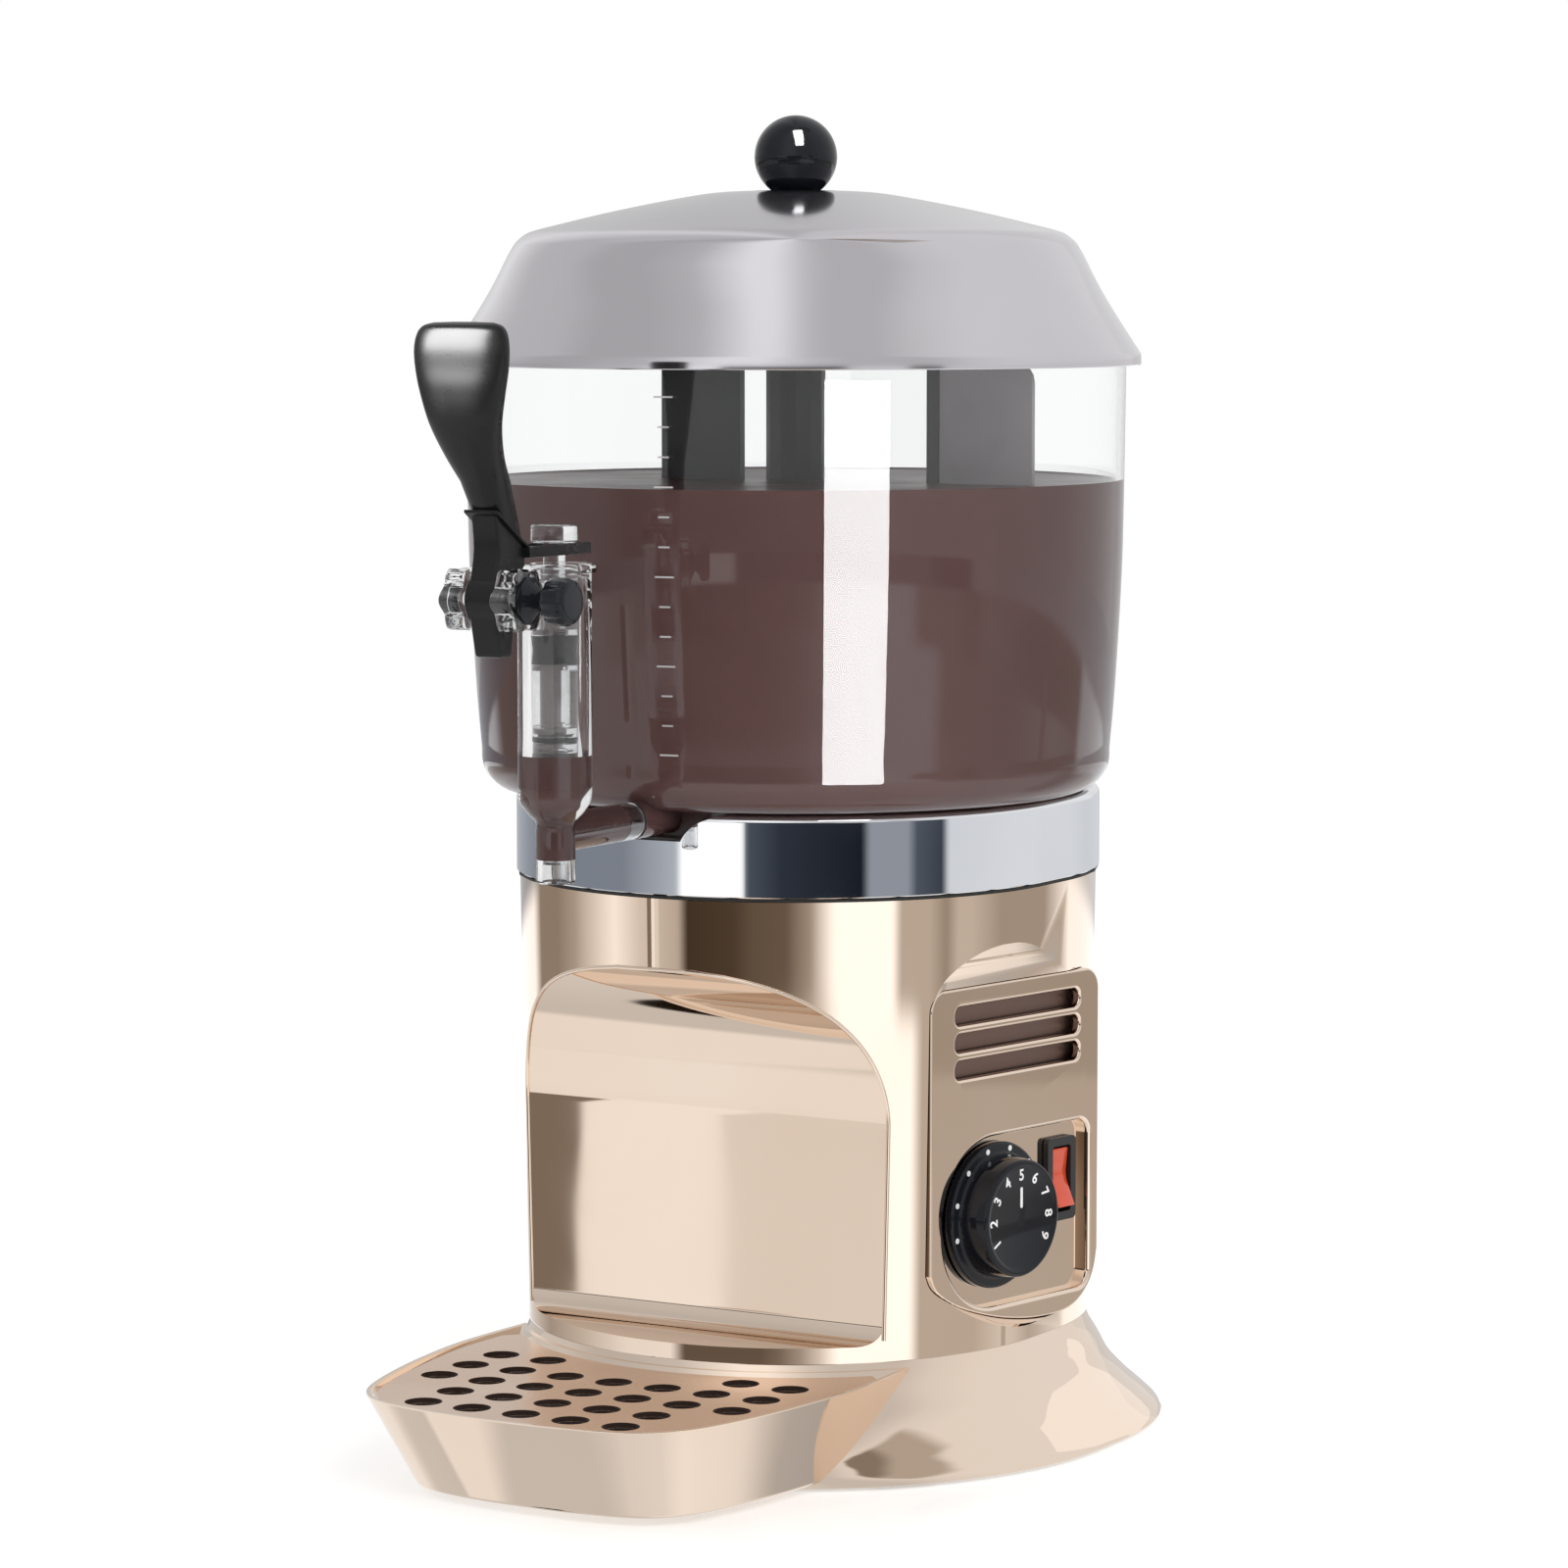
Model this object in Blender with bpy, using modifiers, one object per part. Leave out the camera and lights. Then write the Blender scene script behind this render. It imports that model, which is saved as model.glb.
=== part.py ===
"""Countertop hot chocolate dispenser, in metres, +Z up, front at -Y.

Every piece is placed from the bowl's upright axis. The whole machine is centred on the
origin at the end, standing on its rubber feet at z = 0.
"""

import math

import bmesh
import bpy
from mathutils import Matrix, Vector

# Fits and cutting
FIT = 0.0003  # gap between pieces that touch
RUN = 0.0005  # gap round pieces that turn or slide
OVERRUN = 0.020  # how far a cutter passes the face that it leaves
WELD = 0.000002
SMOOTH_ANGLE = math.radians(35)

# Steps of a full turn
TURN_STEPS = 32
MEDIUM_STEPS = 18
SMALL_STEPS = 12
HOLE_STEPS = 8

# Tower and flared foot
TOWER_TOP_Z = 0.2165
TOWER_TOP_RADIUS = 0.1077
TOWER_LOW_RADIUS = 0.1048
TOWER_DEPTH = 0.0215  # how far the rear half stands back
SHELL_WALL = 0.003
FOOT_RADIUS = 0.1355
FOOT_HEIGHT = 0.042
FOOT_LIP_Z = 0.001
FOOT_LIP_ROUND = 0.0008
FOOT_CURVE_SHARES = (
    (0.0, 1.0),
    (0.07, 0.86),
    (0.20, 0.69),
    (0.345, 0.51),
    (0.57, 0.33),
    (0.82, 0.17),
    (0.95, 0.085),
    (1.0, 0.035),
)

# Cup niche in the front of the tower
NICHE_BACK_Y = -0.070
NICHE_FLOOR_Z = 0.048
NICHE_SPRING_Z = 0.130
NICHE_COVE_RADIUS = 0.067
NICHE_STEPS = 8

# Side control panel, drawn on its own plane: along, up, outwards
PANEL_TURN = math.radians(79)  # its outward direction, from the front towards +X
PANEL_DISTANCE = 0.1005
PANEL_LEFT = -0.0385
PANEL_RIGHT = 0.064
PANEL_LOW = 0.048
PANEL_HIGH = 0.181
PANEL_HIGH_CORNER = 0.008
# The panel's rounded lower end, as shares of its width and height
PANEL_FOOT_SHARES = (
    (0.0, 0.190),
    (0.022, 0.150),
    (0.080, 0.115),
    (0.175, 0.080),
    (0.300, 0.048),
    (0.430, 0.023),
    (0.570, 0.006),
    (0.690, 0.0),
    (0.800, 0.004),
    (0.880, 0.024),
    (0.945, 0.064),
    (0.982, 0.112),
    (1.0, 0.170),
)
PANEL_DEPTH = 0.0125
PANEL_FACE = 0.003
HOOD_RISE = 0.0155
HOOD_SIDE = 0.003
HOOD_DEPTH = 0.009
POCKET_LEFT = -0.031
POCKET_RIGHT = 0.058
POCKET_LOW = 0.0565
POCKET_HIGH = 0.122
POCKET_ROUND = 0.031
POCKET_CORNER = 0.006
POCKET_DEPTH = 0.004
LOUVRE_LEFT = -0.024
LOUVRE_RIGHT = 0.052
LOUVRE_HEIGHT = 0.0072
LOUVRE_PITCH = 0.0103
LOUVRE_TOP_Z = 0.1738
LOUVRE_COUNT = 3
LOUVRE_CORNER = 0.0025

# Thermostat and its dial
DIAL_ALONG = 0.002
DIAL_Z = 0.0915
DIAL_SKIRT_RADIUS = 0.0282
DIAL_SKIRT_THICK = 0.0034
DIAL_FACE_RADIUS = 0.0225
DIAL_HEIGHT = 0.0150
DIAL_EDGE = 0.0012
DIAL_TAPER = 0.0012
DIAL_SOCKET = 0.0115
DIAL_SHAFT_RADIUS = 0.003
DIAL_SHAFT_SEAT = 0.0045
THERMOSTAT_SIZE = 0.032
THERMOSTAT_DEPTH = 0.020

# Rocker switch
ROCKER_ALONG = 0.043
ROCKER_Z = 0.100
ROCKER_FRAME_WIDTH = 0.0175
ROCKER_FRAME_HEIGHT = 0.0325
ROCKER_FRAME_THICK = 0.0024
ROCKER_BODY_WIDTH = 0.0145
ROCKER_BODY_HEIGHT = 0.0290
ROCKER_BODY_DEPTH = 0.018
ROCKER_WINDOW_WIDTH = 0.0112
ROCKER_WINDOW_HEIGHT = 0.0258
ROCKER_WINDOW_DEPTH = 0.0125
ROCKER_LENGTH = 0.0228
ROCKER_TILT = math.radians(9)
ROCKER_PIVOT_DEPTH = 0.0035  # below the frame's front
ROCKER_TIP_RISE = 0.0045
ROCKER_DIP_RISE = 0.0018
ROCKER_BACK = 0.0050

# Base plate and feet
BASE_PLATE_LOW_Z = 0.0055
BASE_PLATE_THICK = 0.002
RUBBER_FOOT_RADIUS = 0.0125
RUBBER_FOOT_TAPER = 0.0012
RUBBER_FOOT_INSET = 0.021  # from the base plate's edge to a foot's centre
RUBBER_FOOT_TURN = math.radians(38)

# Chrome collar, bain-marie tank and their seals
COLLAR_GASKET_THICK = 0.0009
COLLAR_LOW_Z = 0.218
COLLAR_TOP_Z = 0.249
COLLAR_RADIUS = 0.109
COLLAR_WALL = 0.0025
COLLAR_ROUND = 0.0027
COLLAR_DECK_Z = 0.2455
COLLAR_DECK_THICK = 0.002
TANK_RADIUS = 0.1003
TANK_WALL = 0.0012
TANK_LOW_Z = 0.205
TANK_FLANGE_RADIUS = 0.1032
TANK_FLANGE_THICK = 0.001
TANK_TUBE_RADIUS = 0.0076
TANK_TUBE_BORE = 0.0063
TANK_TUBE_TOP_Z = 0.2255
BOWL_GASKET_THICK = 0.0023
NOTCH_FLOOR_Z = 0.2385
NOTCH_LOW_HALF = 0.0125
NOTCH_TOP_HALF = 0.031
NOTCH_MID_SHARES = ((0.10, 0.28), (0.34, 0.64), (0.72, 0.92))
NOTCH_INNER_Y = -0.088

# Heating element
ELEMENT_RING_RADIUS = 0.072
ELEMENT_TUBE_RADIUS = 0.0035
ELEMENT_Z = 0.2135
ELEMENT_GAP = math.radians(14)
ELEMENT_BEND = 0.0045
ELEMENT_END_Z = 0.2020
ELEMENT_STEPS = 24

# Gearmotor, its plate, screws and shaft
MOTOR_PLATE_Z = 0.198
MOTOR_PLATE_THICK = 0.002
GEARBOX_RADIUS = 0.030
GEARBOX_HEIGHT = 0.027
MOTOR_RADIUS = 0.019
MOTOR_HEIGHT = 0.044
MOTOR_OFFSET_Y = 0.009
MOTOR_SCREW_PLACE = 0.016
MOTOR_SCREW_RADIUS = 0.002
MOTOR_SCREW_HEAD = 0.0038
MOTOR_SCREW_HEAD_HEIGHT = 0.0026
MOTOR_SCREW_GRIP = 0.010
SHAFT_RADIUS = 0.004
SHAFT_LOW_Z = 0.174
SHAFT_HEX_RADIUS = 0.0044
SHAFT_HEX_Z = 0.4005
SHAFT_TOP_Z = 0.4125

# Bowl
BOWL_TOP_Z = 0.4155
BOWL_TOP_RADIUS = 0.128
BOWL_LOW_RADIUS = 0.1224
BOWL_LOW_Z = 0.266
# The belly of the bowl's side, as shares of its height and of its radii's difference
BOWL_SIDE_SHARES = ((0.60, 0.87), (0.40, 0.71), (0.15, 0.33))
BOWL_WALL = 0.003
BOWL_CORNER = 0.0135
BOWL_CORNER_STEPS = 3
WELL_RADIUS = 0.098
WELL_LOW_Z = 0.2275
COLUMN_RADIUS = 0.0085
COLUMN_BORE = 0.0055
COLUMN_TOP_Z = 0.388
OUTLET_Z = 0.247
OUTLET_RADIUS = 0.007
OUTLET_BORE = 0.0045
OUTLET_SHOULDER_Y = -0.1225
SPIGOT_RADIUS = 0.0057
SPIGOT_LENGTH = 0.010
OUTLET_SEAL_THICK = 0.0014

# Stirrer
SLEEVE_RADIUS = 0.0115
SLEEVE_BORE = 0.0092
SLEEVE_LOW_Z = 0.2625
SLEEVE_CAP = 0.003  # over the shaft's end
PADDLE_INNER = 0.024
PADDLE_OUTER = 0.060
STIR_TOP_Z = 0.416
STIR_ARM_HEIGHT = 0.010
STIR_THICK = 0.0035
STIR_TIE_Z = 0.335
STIR_POST_INNER = 0.0585
STIR_POST_WIDTH = 0.005
SCRAPER_OUTER = 0.103
SCRAPER_THICK = 0.0024
SCRAPER_CORNER = 0.008
STIR_CORNER = 0.004

# Tap
TAP_Y = -0.175
TAP_RADIUS = 0.0135
TAP_TOP_Z = 0.345
TAP_RIM_RADIUS = 0.0152
TAP_RIM_HEIGHT = 0.0035
TAP_BORE = 0.0088
TAP_CONE_TOP_Z = 0.259
TAP_CONE_LOW_Z = 0.2515
SPOUT_RADIUS = 0.0072
SPOUT_BORE = 0.005
SPOUT_LOW_Z = 0.2290
BORE_CONE_TOP_Z = 0.264
BORE_CONE_LOW_Z = 0.258
EAR_RADIUS = 0.0110
EAR_LOBE = 0.0011
EAR_LOBES = 6
EAR_INNER_X = 0.0066
EAR_OUTER_X = 0.0148
TAP_ARM_OUTER_X = 0.0108
TAP_ARM_LOW_Z = 0.3275
TAP_ARM_HIGH_Z = 0.3405

# Piston and its seals
PISTON_RADIUS = 0.0083
PISTON_HEAD_RADIUS = 0.0085
PISTON_HEAD_LOW_Z = 0.3526
PISTON_HEAD_THICK = 0.0064
PISTON_HEAD_EDGE = 0.0010
PISTON_NECK_RADIUS = 0.004
PISTON_UPPER_TOP_Z = 0.3220
PISTON_UPPER_LOW_Z = 0.3070
PISTON_STEM_RADIUS = 0.0055
PISTON_LOWER_TOP_Z = 0.2860
PISTON_LOWER_LOW_Z = 0.2770
PISTON_NOSE_RADIUS = 0.0046
PISTON_NOSE_Z = 0.236
CUP_SEAL_HEIGHT = 0.0105
CUP_SEAL_INNER = 0.0050
CUP_SEAL_LIP = 0.0006
RING_SEAL_SECTION = 0.0009
RING_SEAL_STEPS = 6

# Tap lever and its pivot
PIVOT_Y = -0.216
PIVOT_Z = 0.334
PIN_RADIUS = 0.0025
PIN_CAP_RADIUS = 0.0086
PIN_FLANGE_THICK = 0.0018
PIN_NECK_RADIUS = 0.0036
PIN_CAP_INNER_X = 0.0235
PIN_CAP_OUTER_X = 0.034
HUB_RADIUS = 0.0093
HUB_HALF = 0.0062
STEM_HALF = 0.0056
STEM_FRONT_Y = -0.2215
STEM_REAR_Y = -0.2025
SEAM_FRONT_Z = 0.365
SEAM_LIP = 0.0016
SEAM_LIP_THICK = 0.0012
SEAM_SLOPE_SHARE = 0.65
TAIL_LOW_Z = 0.3135
TAIL_HALF = 0.0036
FORK_THICK = 0.0040
FORK_WIDTH = 0.0035
FORK_TIP_REACH = 0.053
FORK_BAR = 0.006
PADDLE_STEPS = 16
PADDLE_POWER_SHARE = 0.74
# Lever paddle sections, each a height, the front face's Y, a thickness and a width
PADDLE_SECTIONS = (
    (0.4318, -0.2352, 0.0040, 0.0250),
    (0.4307, -0.2376, 0.0075, 0.0322),
    (0.4280, -0.2389, 0.0092, 0.0366),
    (0.4230, -0.2396, 0.0098, 0.0386),
    (0.4160, -0.2400, 0.0102, 0.0378),
    (0.4070, -0.2400, 0.0110, 0.0340),
    (0.3960, -0.2385, 0.0124, 0.0280),
    (0.3850, -0.2335, 0.0134, 0.0218),
    (0.3760, -0.2275, 0.0150, 0.0170),
)
PADDLE_FOOT_WIDTH = 0.0136
PADDLE_FOOT_GROW = 0.0006

# Lid, knob and rosette
LID_OUTLINE = (
    (0.0162, 0.4807),
    (0.0350, 0.4800),
    (0.0750, 0.4720),
    (0.1040, 0.4648),
    (0.1082, 0.4618),
    (0.1112, 0.4570),
    (0.1150, 0.4490),
    (0.1235, 0.4340),
    (0.1332, 0.4190),
    (0.1337, 0.4170),
)
LID_WALL = 0.0018
LID_RIM_Z = 0.4140
LID_LEDGE_THICK = 0.0022
LID_LEDGE_INNER = 0.1225
DISH_DEPTH = 0.0052
DISH_FLOOR_RADIUS = 0.0130
SCREW_HOLE_RADIUS = 0.0025
ROSETTE_THICK = 0.0014
KNOB_RADIUS = 0.016
KNOB_CENTRE_Z = 0.494
KNOB_NECK_RADIUS = 0.0062
KNOB_SCREW_DEPTH = 0.010
KNOB_SCREW_RADIUS = 0.002
KNOB_SCREW_HEAD_RADIUS = 0.0042
KNOB_SCREW_HEAD_HEIGHT = 0.0022

# Drip tray and its grille
TRAY_HALF = 0.0878
TRAY_REAR_Y = -0.058
TRAY_FRONT_Y = -0.2195
# Half of the tray's rim from its rear to its front, as shares of its half width and depth
TRAY_RIM_SHARES = (
    (0.975, 0.0),
    (1.0, 0.28),
    (0.972, 0.47),
    (0.915, 0.65),
    (0.842, 0.80),
    (0.768, 0.885),
    (0.66, 0.943),
    (0.50, 0.977),
    (0.27, 0.995),
    (0.0, 1.0),
)
TRAY_LOW_WIDTH_SHARE = 0.85  # of the rim's width, at the tray's bottom
TRAY_LOW_DEPTH_SHARE = 0.87
TRAY_RIM_Z = 0.0395
TRAY_LOW_Z = 0.003
TRAY_WALL = 0.0022
TRAY_FLOOR = 0.0025
TRAY_LEDGE = 0.002
TRAY_LEDGE_Z = 0.0358
TRAY_GAP = 0.0008
TRAY_LOW_ROUND = 0.0016
GRILLE_THICK = 0.0020
GRILLE_HOLE_RADIUS = 0.0070
GRILLE_PITCH = 0.0212
GRILLE_FRONT_MARGIN = 0.0150
GRILLE_EDGE = 0.0028
GRILLE_REAR_STEPS = 16

# Small fittings
GLAND_Z = 0.062
GLAND_RADIUS = 0.0095
GLAND_BODY_RADIUS = 0.0067
GLAND_BORE = 0.0036
GLAND_FLANGE = 0.0030
GLAND_REACH = 0.0120
GLAND_TIP_RADIUS = 0.0066
TERMINAL_LENGTH = 0.042
TERMINAL_WIDTH = 0.018
TERMINAL_HEIGHT = 0.014
TERMINAL_SLOT = 0.0022
TERMINAL_COUNT = 4
TERMINAL_Y = 0.070
TERMINAL_X = -0.040

PARTS = "hot_chocolate_dispenser"

# Colours of the finishes: colour, roughness, metallic, alpha
FINISHES = {
    "champagne_plate": ((0.86, 0.72, 0.58), 0.10, 1.0, 1.0),
    "silver_plate": ((0.78, 0.76, 0.78), 0.18, 1.0, 1.0),
    "chrome": ((0.82, 0.83, 0.85), 0.05, 1.0, 1.0),
    "grille_plate": ((0.85, 0.66, 0.52), 0.25, 1.0, 1.0),
    "clear_plastic": ((0.95, 0.96, 0.97), 0.03, 0.0, 0.3),
    "frosted_plastic": ((0.42, 0.40, 0.42), 0.45, 0.0, 0.8),
    "black_gloss": ((0.012, 0.013, 0.016), 0.12, 0.0, 1.0),
    "black_moulding": ((0.02, 0.02, 0.022), 0.45, 0.0, 1.0),
    "red_lens": ((0.72, 0.06, 0.02), 0.15, 0.0, 1.0),
    "rubber": ((0.015, 0.015, 0.015), 0.8, 0.0, 1.0),
    "stainless": ((0.62, 0.61, 0.59), 0.28, 1.0, 1.0),
    "zinc_steel": ((0.55, 0.55, 0.54), 0.4, 1.0, 1.0),
    "white_moulding": ((0.75, 0.74, 0.70), 0.5, 0.0, 1.0),
}

# Turns a flat shape so that it is drawn along Y and up, and is thick along X
SIDE_VIEW = Matrix(((0, 0, 1, 0), (1, 0, 0, 0), (0, 1, 0, 0), (0, 0, 0, 1)))
# Turns a flat shape so that it is drawn along X and up, and is thick along Y
FRONT_VIEW = Matrix(((1, 0, 0, 0), (0, 0, -1, 0), (0, 1, 0, 0), (0, 0, 0, 1)))
ALONG_X = Matrix.Rotation(math.pi / 2, 4, "Y")
ALONG_MINUS_Y = Matrix.Rotation(math.pi / 2, 4, "X")
ALONG_PLUS_Y = Matrix.Rotation(-math.pi / 2, 4, "X")


# Scene and helpers

def clear_scene():
    for thing in list(bpy.data.objects):
        bpy.data.objects.remove(thing, do_unlink=True)


def make_collection(name):
    collection = bpy.data.collections.new(name)
    bpy.context.scene.collection.children.link(collection)
    return collection


def make_finishes():
    for name, (colour, roughness, metallic, alpha) in FINISHES.items():
        finish = bpy.data.materials.new(name)
        finish.use_nodes = True
        shader = finish.node_tree.nodes["Principled BSDF"]
        shader.inputs["Base Color"].default_value = (*colour, 1)
        shader.inputs["Roughness"].default_value = roughness
        shader.inputs["Metallic"].default_value = metallic
        shader.inputs["Alpha"].default_value = alpha
        finish.diffuse_color = (*colour, alpha)


def new_thing(name, data):
    thing = bpy.data.objects.new(name, data)
    bpy.data.collections[PARTS].objects.link(thing)
    return thing


def baked(thing):
    """Replaces the object's mesh by the one that its modifiers make."""
    bpy.context.view_layer.update()
    graph = bpy.context.evaluated_depsgraph_get()
    mesh = bpy.data.meshes.new_from_object(thing.evaluated_get(graph))
    thing.modifiers.clear()
    thing.data = mesh
    return thing


def welded(mesh):
    shape = bmesh.new()
    shape.from_mesh(mesh)
    bmesh.ops.remove_doubles(shape, verts=shape.verts, dist=WELD)
    bmesh.ops.recalc_face_normals(shape, faces=shape.faces)
    shape.to_mesh(mesh)
    shape.free()


def mesh_of_curve(name, curve):
    """A welded mesh object with the shape of a curve that has filled caps."""
    guide = new_thing(name + "_guide", curve)
    bpy.context.view_layer.update()
    graph = bpy.context.evaluated_depsgraph_get()
    mesh = bpy.data.meshes.new_from_object(guide.evaluated_get(graph))
    bpy.data.objects.remove(guide, do_unlink=True)
    welded(mesh)
    return new_thing(name, mesh)


def flat(name, outlines, low, high, view=None):
    """A flat piece: the first outline, less the others, from low to high along its thickness."""
    curve = bpy.data.curves.new(name, "CURVE")
    curve.dimensions = "2D"
    curve.fill_mode = "BOTH"
    curve.extrude = (high - low) / 2
    for outline in outlines:
        spline = curve.splines.new("POLY")
        spline.points.add(len(outline) - 1)
        for point, (across, up) in zip(spline.points, outline):
            point.co = (across, up, 0, 1)
        spline.use_cyclic_u = True
    thing = mesh_of_curve(name, curve)
    thing.data.transform(Matrix.Translation((0, 0, (low + high) / 2)))
    if view:
        thing.data.transform(view)
    return thing


def turned(name, profile, steps=TURN_STEPS, place=(0, 0, 0), view=None):
    """A turned piece. Its profile runs down the outer side, and closes on itself unless it
    starts on the axis."""
    mesh = bpy.data.meshes.new(name)
    edges = [(index, index + 1) for index in range(len(profile) - 1)]
    if profile[0][0] > 0:
        edges.append((len(profile) - 1, 0))
    mesh.from_pydata([(radius, 0, z) for radius, z in profile], edges, [])
    thing = new_thing(name, mesh)
    screw = thing.modifiers.new("Turn", "SCREW")
    screw.steps = steps
    screw.render_steps = steps
    screw.use_merge_vertices = True
    screw.merge_threshold = WELD
    baked(thing)
    if view:
        thing.data.transform(view)
    thing.data.transform(Matrix.Translation(place))
    return thing


def rod(name, radius, low, high, steps=SMALL_STEPS, place=(0, 0, 0), view=None):
    profile = ((0, high), (radius, high), (radius, low), (0, low))
    return turned(name, profile, steps, place, view)


def stretched(thing, steps=TURN_STEPS):
    """Moves the rear half of a turned piece back, which makes its circles into stadiums."""
    thing.data.transform(Matrix.Rotation(math.pi / steps, 4, "Z"))
    for vertex in thing.data.vertices:
        if vertex.co.y > WELD:
            vertex.co.y += TOWER_DEPTH
    return thing


def box(name, low, high, edge=0, segments=1):
    mesh = bpy.data.meshes.new(name)
    shape = bmesh.new()
    bmesh.ops.create_cube(shape, size=1)
    low, high = Vector(low), Vector(high)
    size = Matrix.Diagonal((*(high - low), 1))
    bmesh.ops.transform(shape, matrix=Matrix.Translation((low + high) / 2) @ size, verts=shape.verts)
    shape.to_mesh(mesh)
    shape.free()
    thing = new_thing(name, mesh)
    if edge:
        bevel = thing.modifiers.new("Edges", "BEVEL")
        bevel.width = edge
        bevel.segments = segments
        baked(thing)
    return thing


def loft(name, rings):
    """A closed piece through rings of points, all with the same count."""
    shape = bmesh.new()
    rows = [[shape.verts.new(point) for point in ring] for ring in rings]
    for lower, upper in zip(rows, rows[1:]):
        for index in range(len(lower)):
            after = (index + 1) % len(lower)
            shape.faces.new((lower[index], lower[after], upper[after], upper[index]))
    shape.faces.new(rows[0])
    shape.faces.new(rows[-1])
    bmesh.ops.recalc_face_normals(shape, faces=shape.faces)
    mesh = bpy.data.meshes.new(name)
    shape.to_mesh(mesh)
    shape.free()
    return new_thing(name, mesh)


def combined(thing, operation, tools):
    for tool in tools:
        step = thing.modifiers.new(tool.name, "BOOLEAN")
        step.operation = operation
        step.object = tool
        welded(baked(thing).data)
        bpy.data.objects.remove(tool, do_unlink=True)
    return thing


def cut(thing, *tools):
    return combined(thing, "DIFFERENCE", tools)


def joined(thing, *tools):
    return combined(thing, "UNION", tools)


def finished(thing, finish, parent, origin=(0, 0, 0)):
    """Gives a piece its finish, its parent and its origin, and shades it smooth."""
    thing.data.transform(Matrix.Translation(-Vector(origin)))
    thing.location = origin
    thing.parent = parent
    thing.data.materials.clear()
    thing.data.materials.append(bpy.data.materials[finish])
    thing.data.shade_smooth()
    thing.data.set_sharp_from_angle(angle=SMOOTH_ANGLE)
    return thing


# Outlines

def circle(radius, steps, centre=(0, 0)):
    angles = [2 * math.pi * index / steps for index in range(steps)]
    return [(centre[0] + radius * math.cos(a), centre[1] + radius * math.sin(a)) for a in angles]


def stadium(radius, steps=TURN_STEPS):
    outline = []
    for index in range(steps):
        angle = 2 * math.pi * (index + 0.5) / steps
        y = radius * math.sin(angle)
        outline.append((radius * math.cos(angle), y + TOWER_DEPTH if y > 0 else y))
    return outline


def arc(centre, radius, start, end, steps):
    """Points of an arc, with its angles in degrees."""
    points = []
    for index in range(steps + 1):
        angle = math.radians(start + (end - start) * index / steps)
        points.append((centre[0] + radius * math.cos(angle), centre[1] + radius * math.sin(angle)))
    return points


def rounded(left, right, low, high, corners, steps=4):
    """A rectangle whose corners, from low left round to high left, have these radii."""
    low_left, low_right, high_right, high_left = corners
    outline = arc((left + low_left, low + low_left), low_left, 180, 270, steps)
    outline += arc((right - low_right, low + low_right), low_right, 270, 360, steps)
    outline += arc((right - high_right, high - high_right), high_right, 0, 90, steps)
    outline += arc((left + high_left, high - high_left), high_left, 90, 180, steps)
    return outline


def inset(outline, distance):
    """The outline moved in by a distance, or out by a negative one. It runs anticlockwise."""
    points = [Vector(point) for point in outline]
    moved = []
    for index, point in enumerate(points):
        before = (point - points[index - 1]).normalized()
        after = (points[(index + 1) % len(points)] - point).normalized()
        bisector = Vector((-before.y - after.y, before.x + after.x))
        moved.append(point + bisector * (2 * distance / bisector.length_squared))
    return [tuple(point) for point in moved]


def bend(start, control, end, steps):
    """Points of a smooth bend, without its start."""
    points = []
    for index in range(1, steps + 1):
        t = index / steps
        weights = ((1 - t) ** 2, 2 * t * (1 - t), t * t)
        corners = (start, control, end)
        points.append(tuple(sum(w * c[axis] for w, c in zip(weights, corners)) for axis in (0, 1)))
    return points


# Housing

def shell_outline(grow=0):
    """The tower and foot from top to bottom, as radius and height."""
    outline = [(TOWER_TOP_RADIUS + grow, TOWER_TOP_Z)]
    flare = FOOT_RADIUS - TOWER_LOW_RADIUS
    for out_share, up_share in FOOT_CURVE_SHARES:
        outline.append((TOWER_LOW_RADIUS + flare * out_share + grow, FOOT_HEIGHT * up_share))
    return outline


def shell_radius(z):
    outline = shell_outline()
    for (upper_radius, upper), (lower_radius, lower) in zip(outline, outline[1:]):
        if z >= lower:
            return lower_radius + (upper_radius - lower_radius) * (z - lower) / (upper - lower)
    return outline[-1][0]


def niche_outline(grow=0):
    """The air of the cup niche, seen from the side. It has a flat back and a coved ceiling."""
    centre = (NICHE_BACK_Y - NICHE_COVE_RADIUS, NICHE_SPRING_Z)
    outline = arc(centre, NICHE_COVE_RADIUS + grow, 0, 90, NICHE_STEPS)
    front_y = centre[0] - OVERRUN
    floor_z = NICHE_FLOOR_Z - grow
    outline.append((front_y, NICHE_SPRING_Z + NICHE_COVE_RADIUS + grow))
    outline.append((front_y, floor_z))
    outline.append((NICHE_BACK_Y + grow, floor_z))
    return outline


def panel_outline(grow=0):
    width = PANEL_RIGHT - PANEL_LEFT
    height = PANEL_HIGH - PANEL_LOW
    outline = [
        (PANEL_LEFT + width * across, PANEL_LOW + height * up) for across, up in PANEL_FOOT_SHARES
    ]
    corner = PANEL_HIGH_CORNER
    outline += arc((PANEL_RIGHT - corner, PANEL_HIGH - corner), corner, 0, 90, 3)
    outline += arc((PANEL_LEFT + corner, PANEL_HIGH - corner), corner, 90, 180, 3)
    return inset(outline, -grow)


def facet_scoop(name, grow=0):
    """The air outside the panel's facet: it opens upwards into a sloping hood."""
    rings = []
    inner = panel_outline(grow)
    middle = (PANEL_LOW + PANEL_HIGH) / 2
    outer = [
        (along, z + HOOD_RISE if z > middle else z - HOOD_SIDE)
        for along, z in panel_outline(grow + HOOD_SIDE)
    ]
    rings.append([(along, z, -grow) for along, z in inner])
    rings.append([(along, z, HOOD_DEPTH - grow) for along, z in outer])
    rings.append([(along, z, OVERRUN) for along, z in outer])
    return loft(name, rings)


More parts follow.
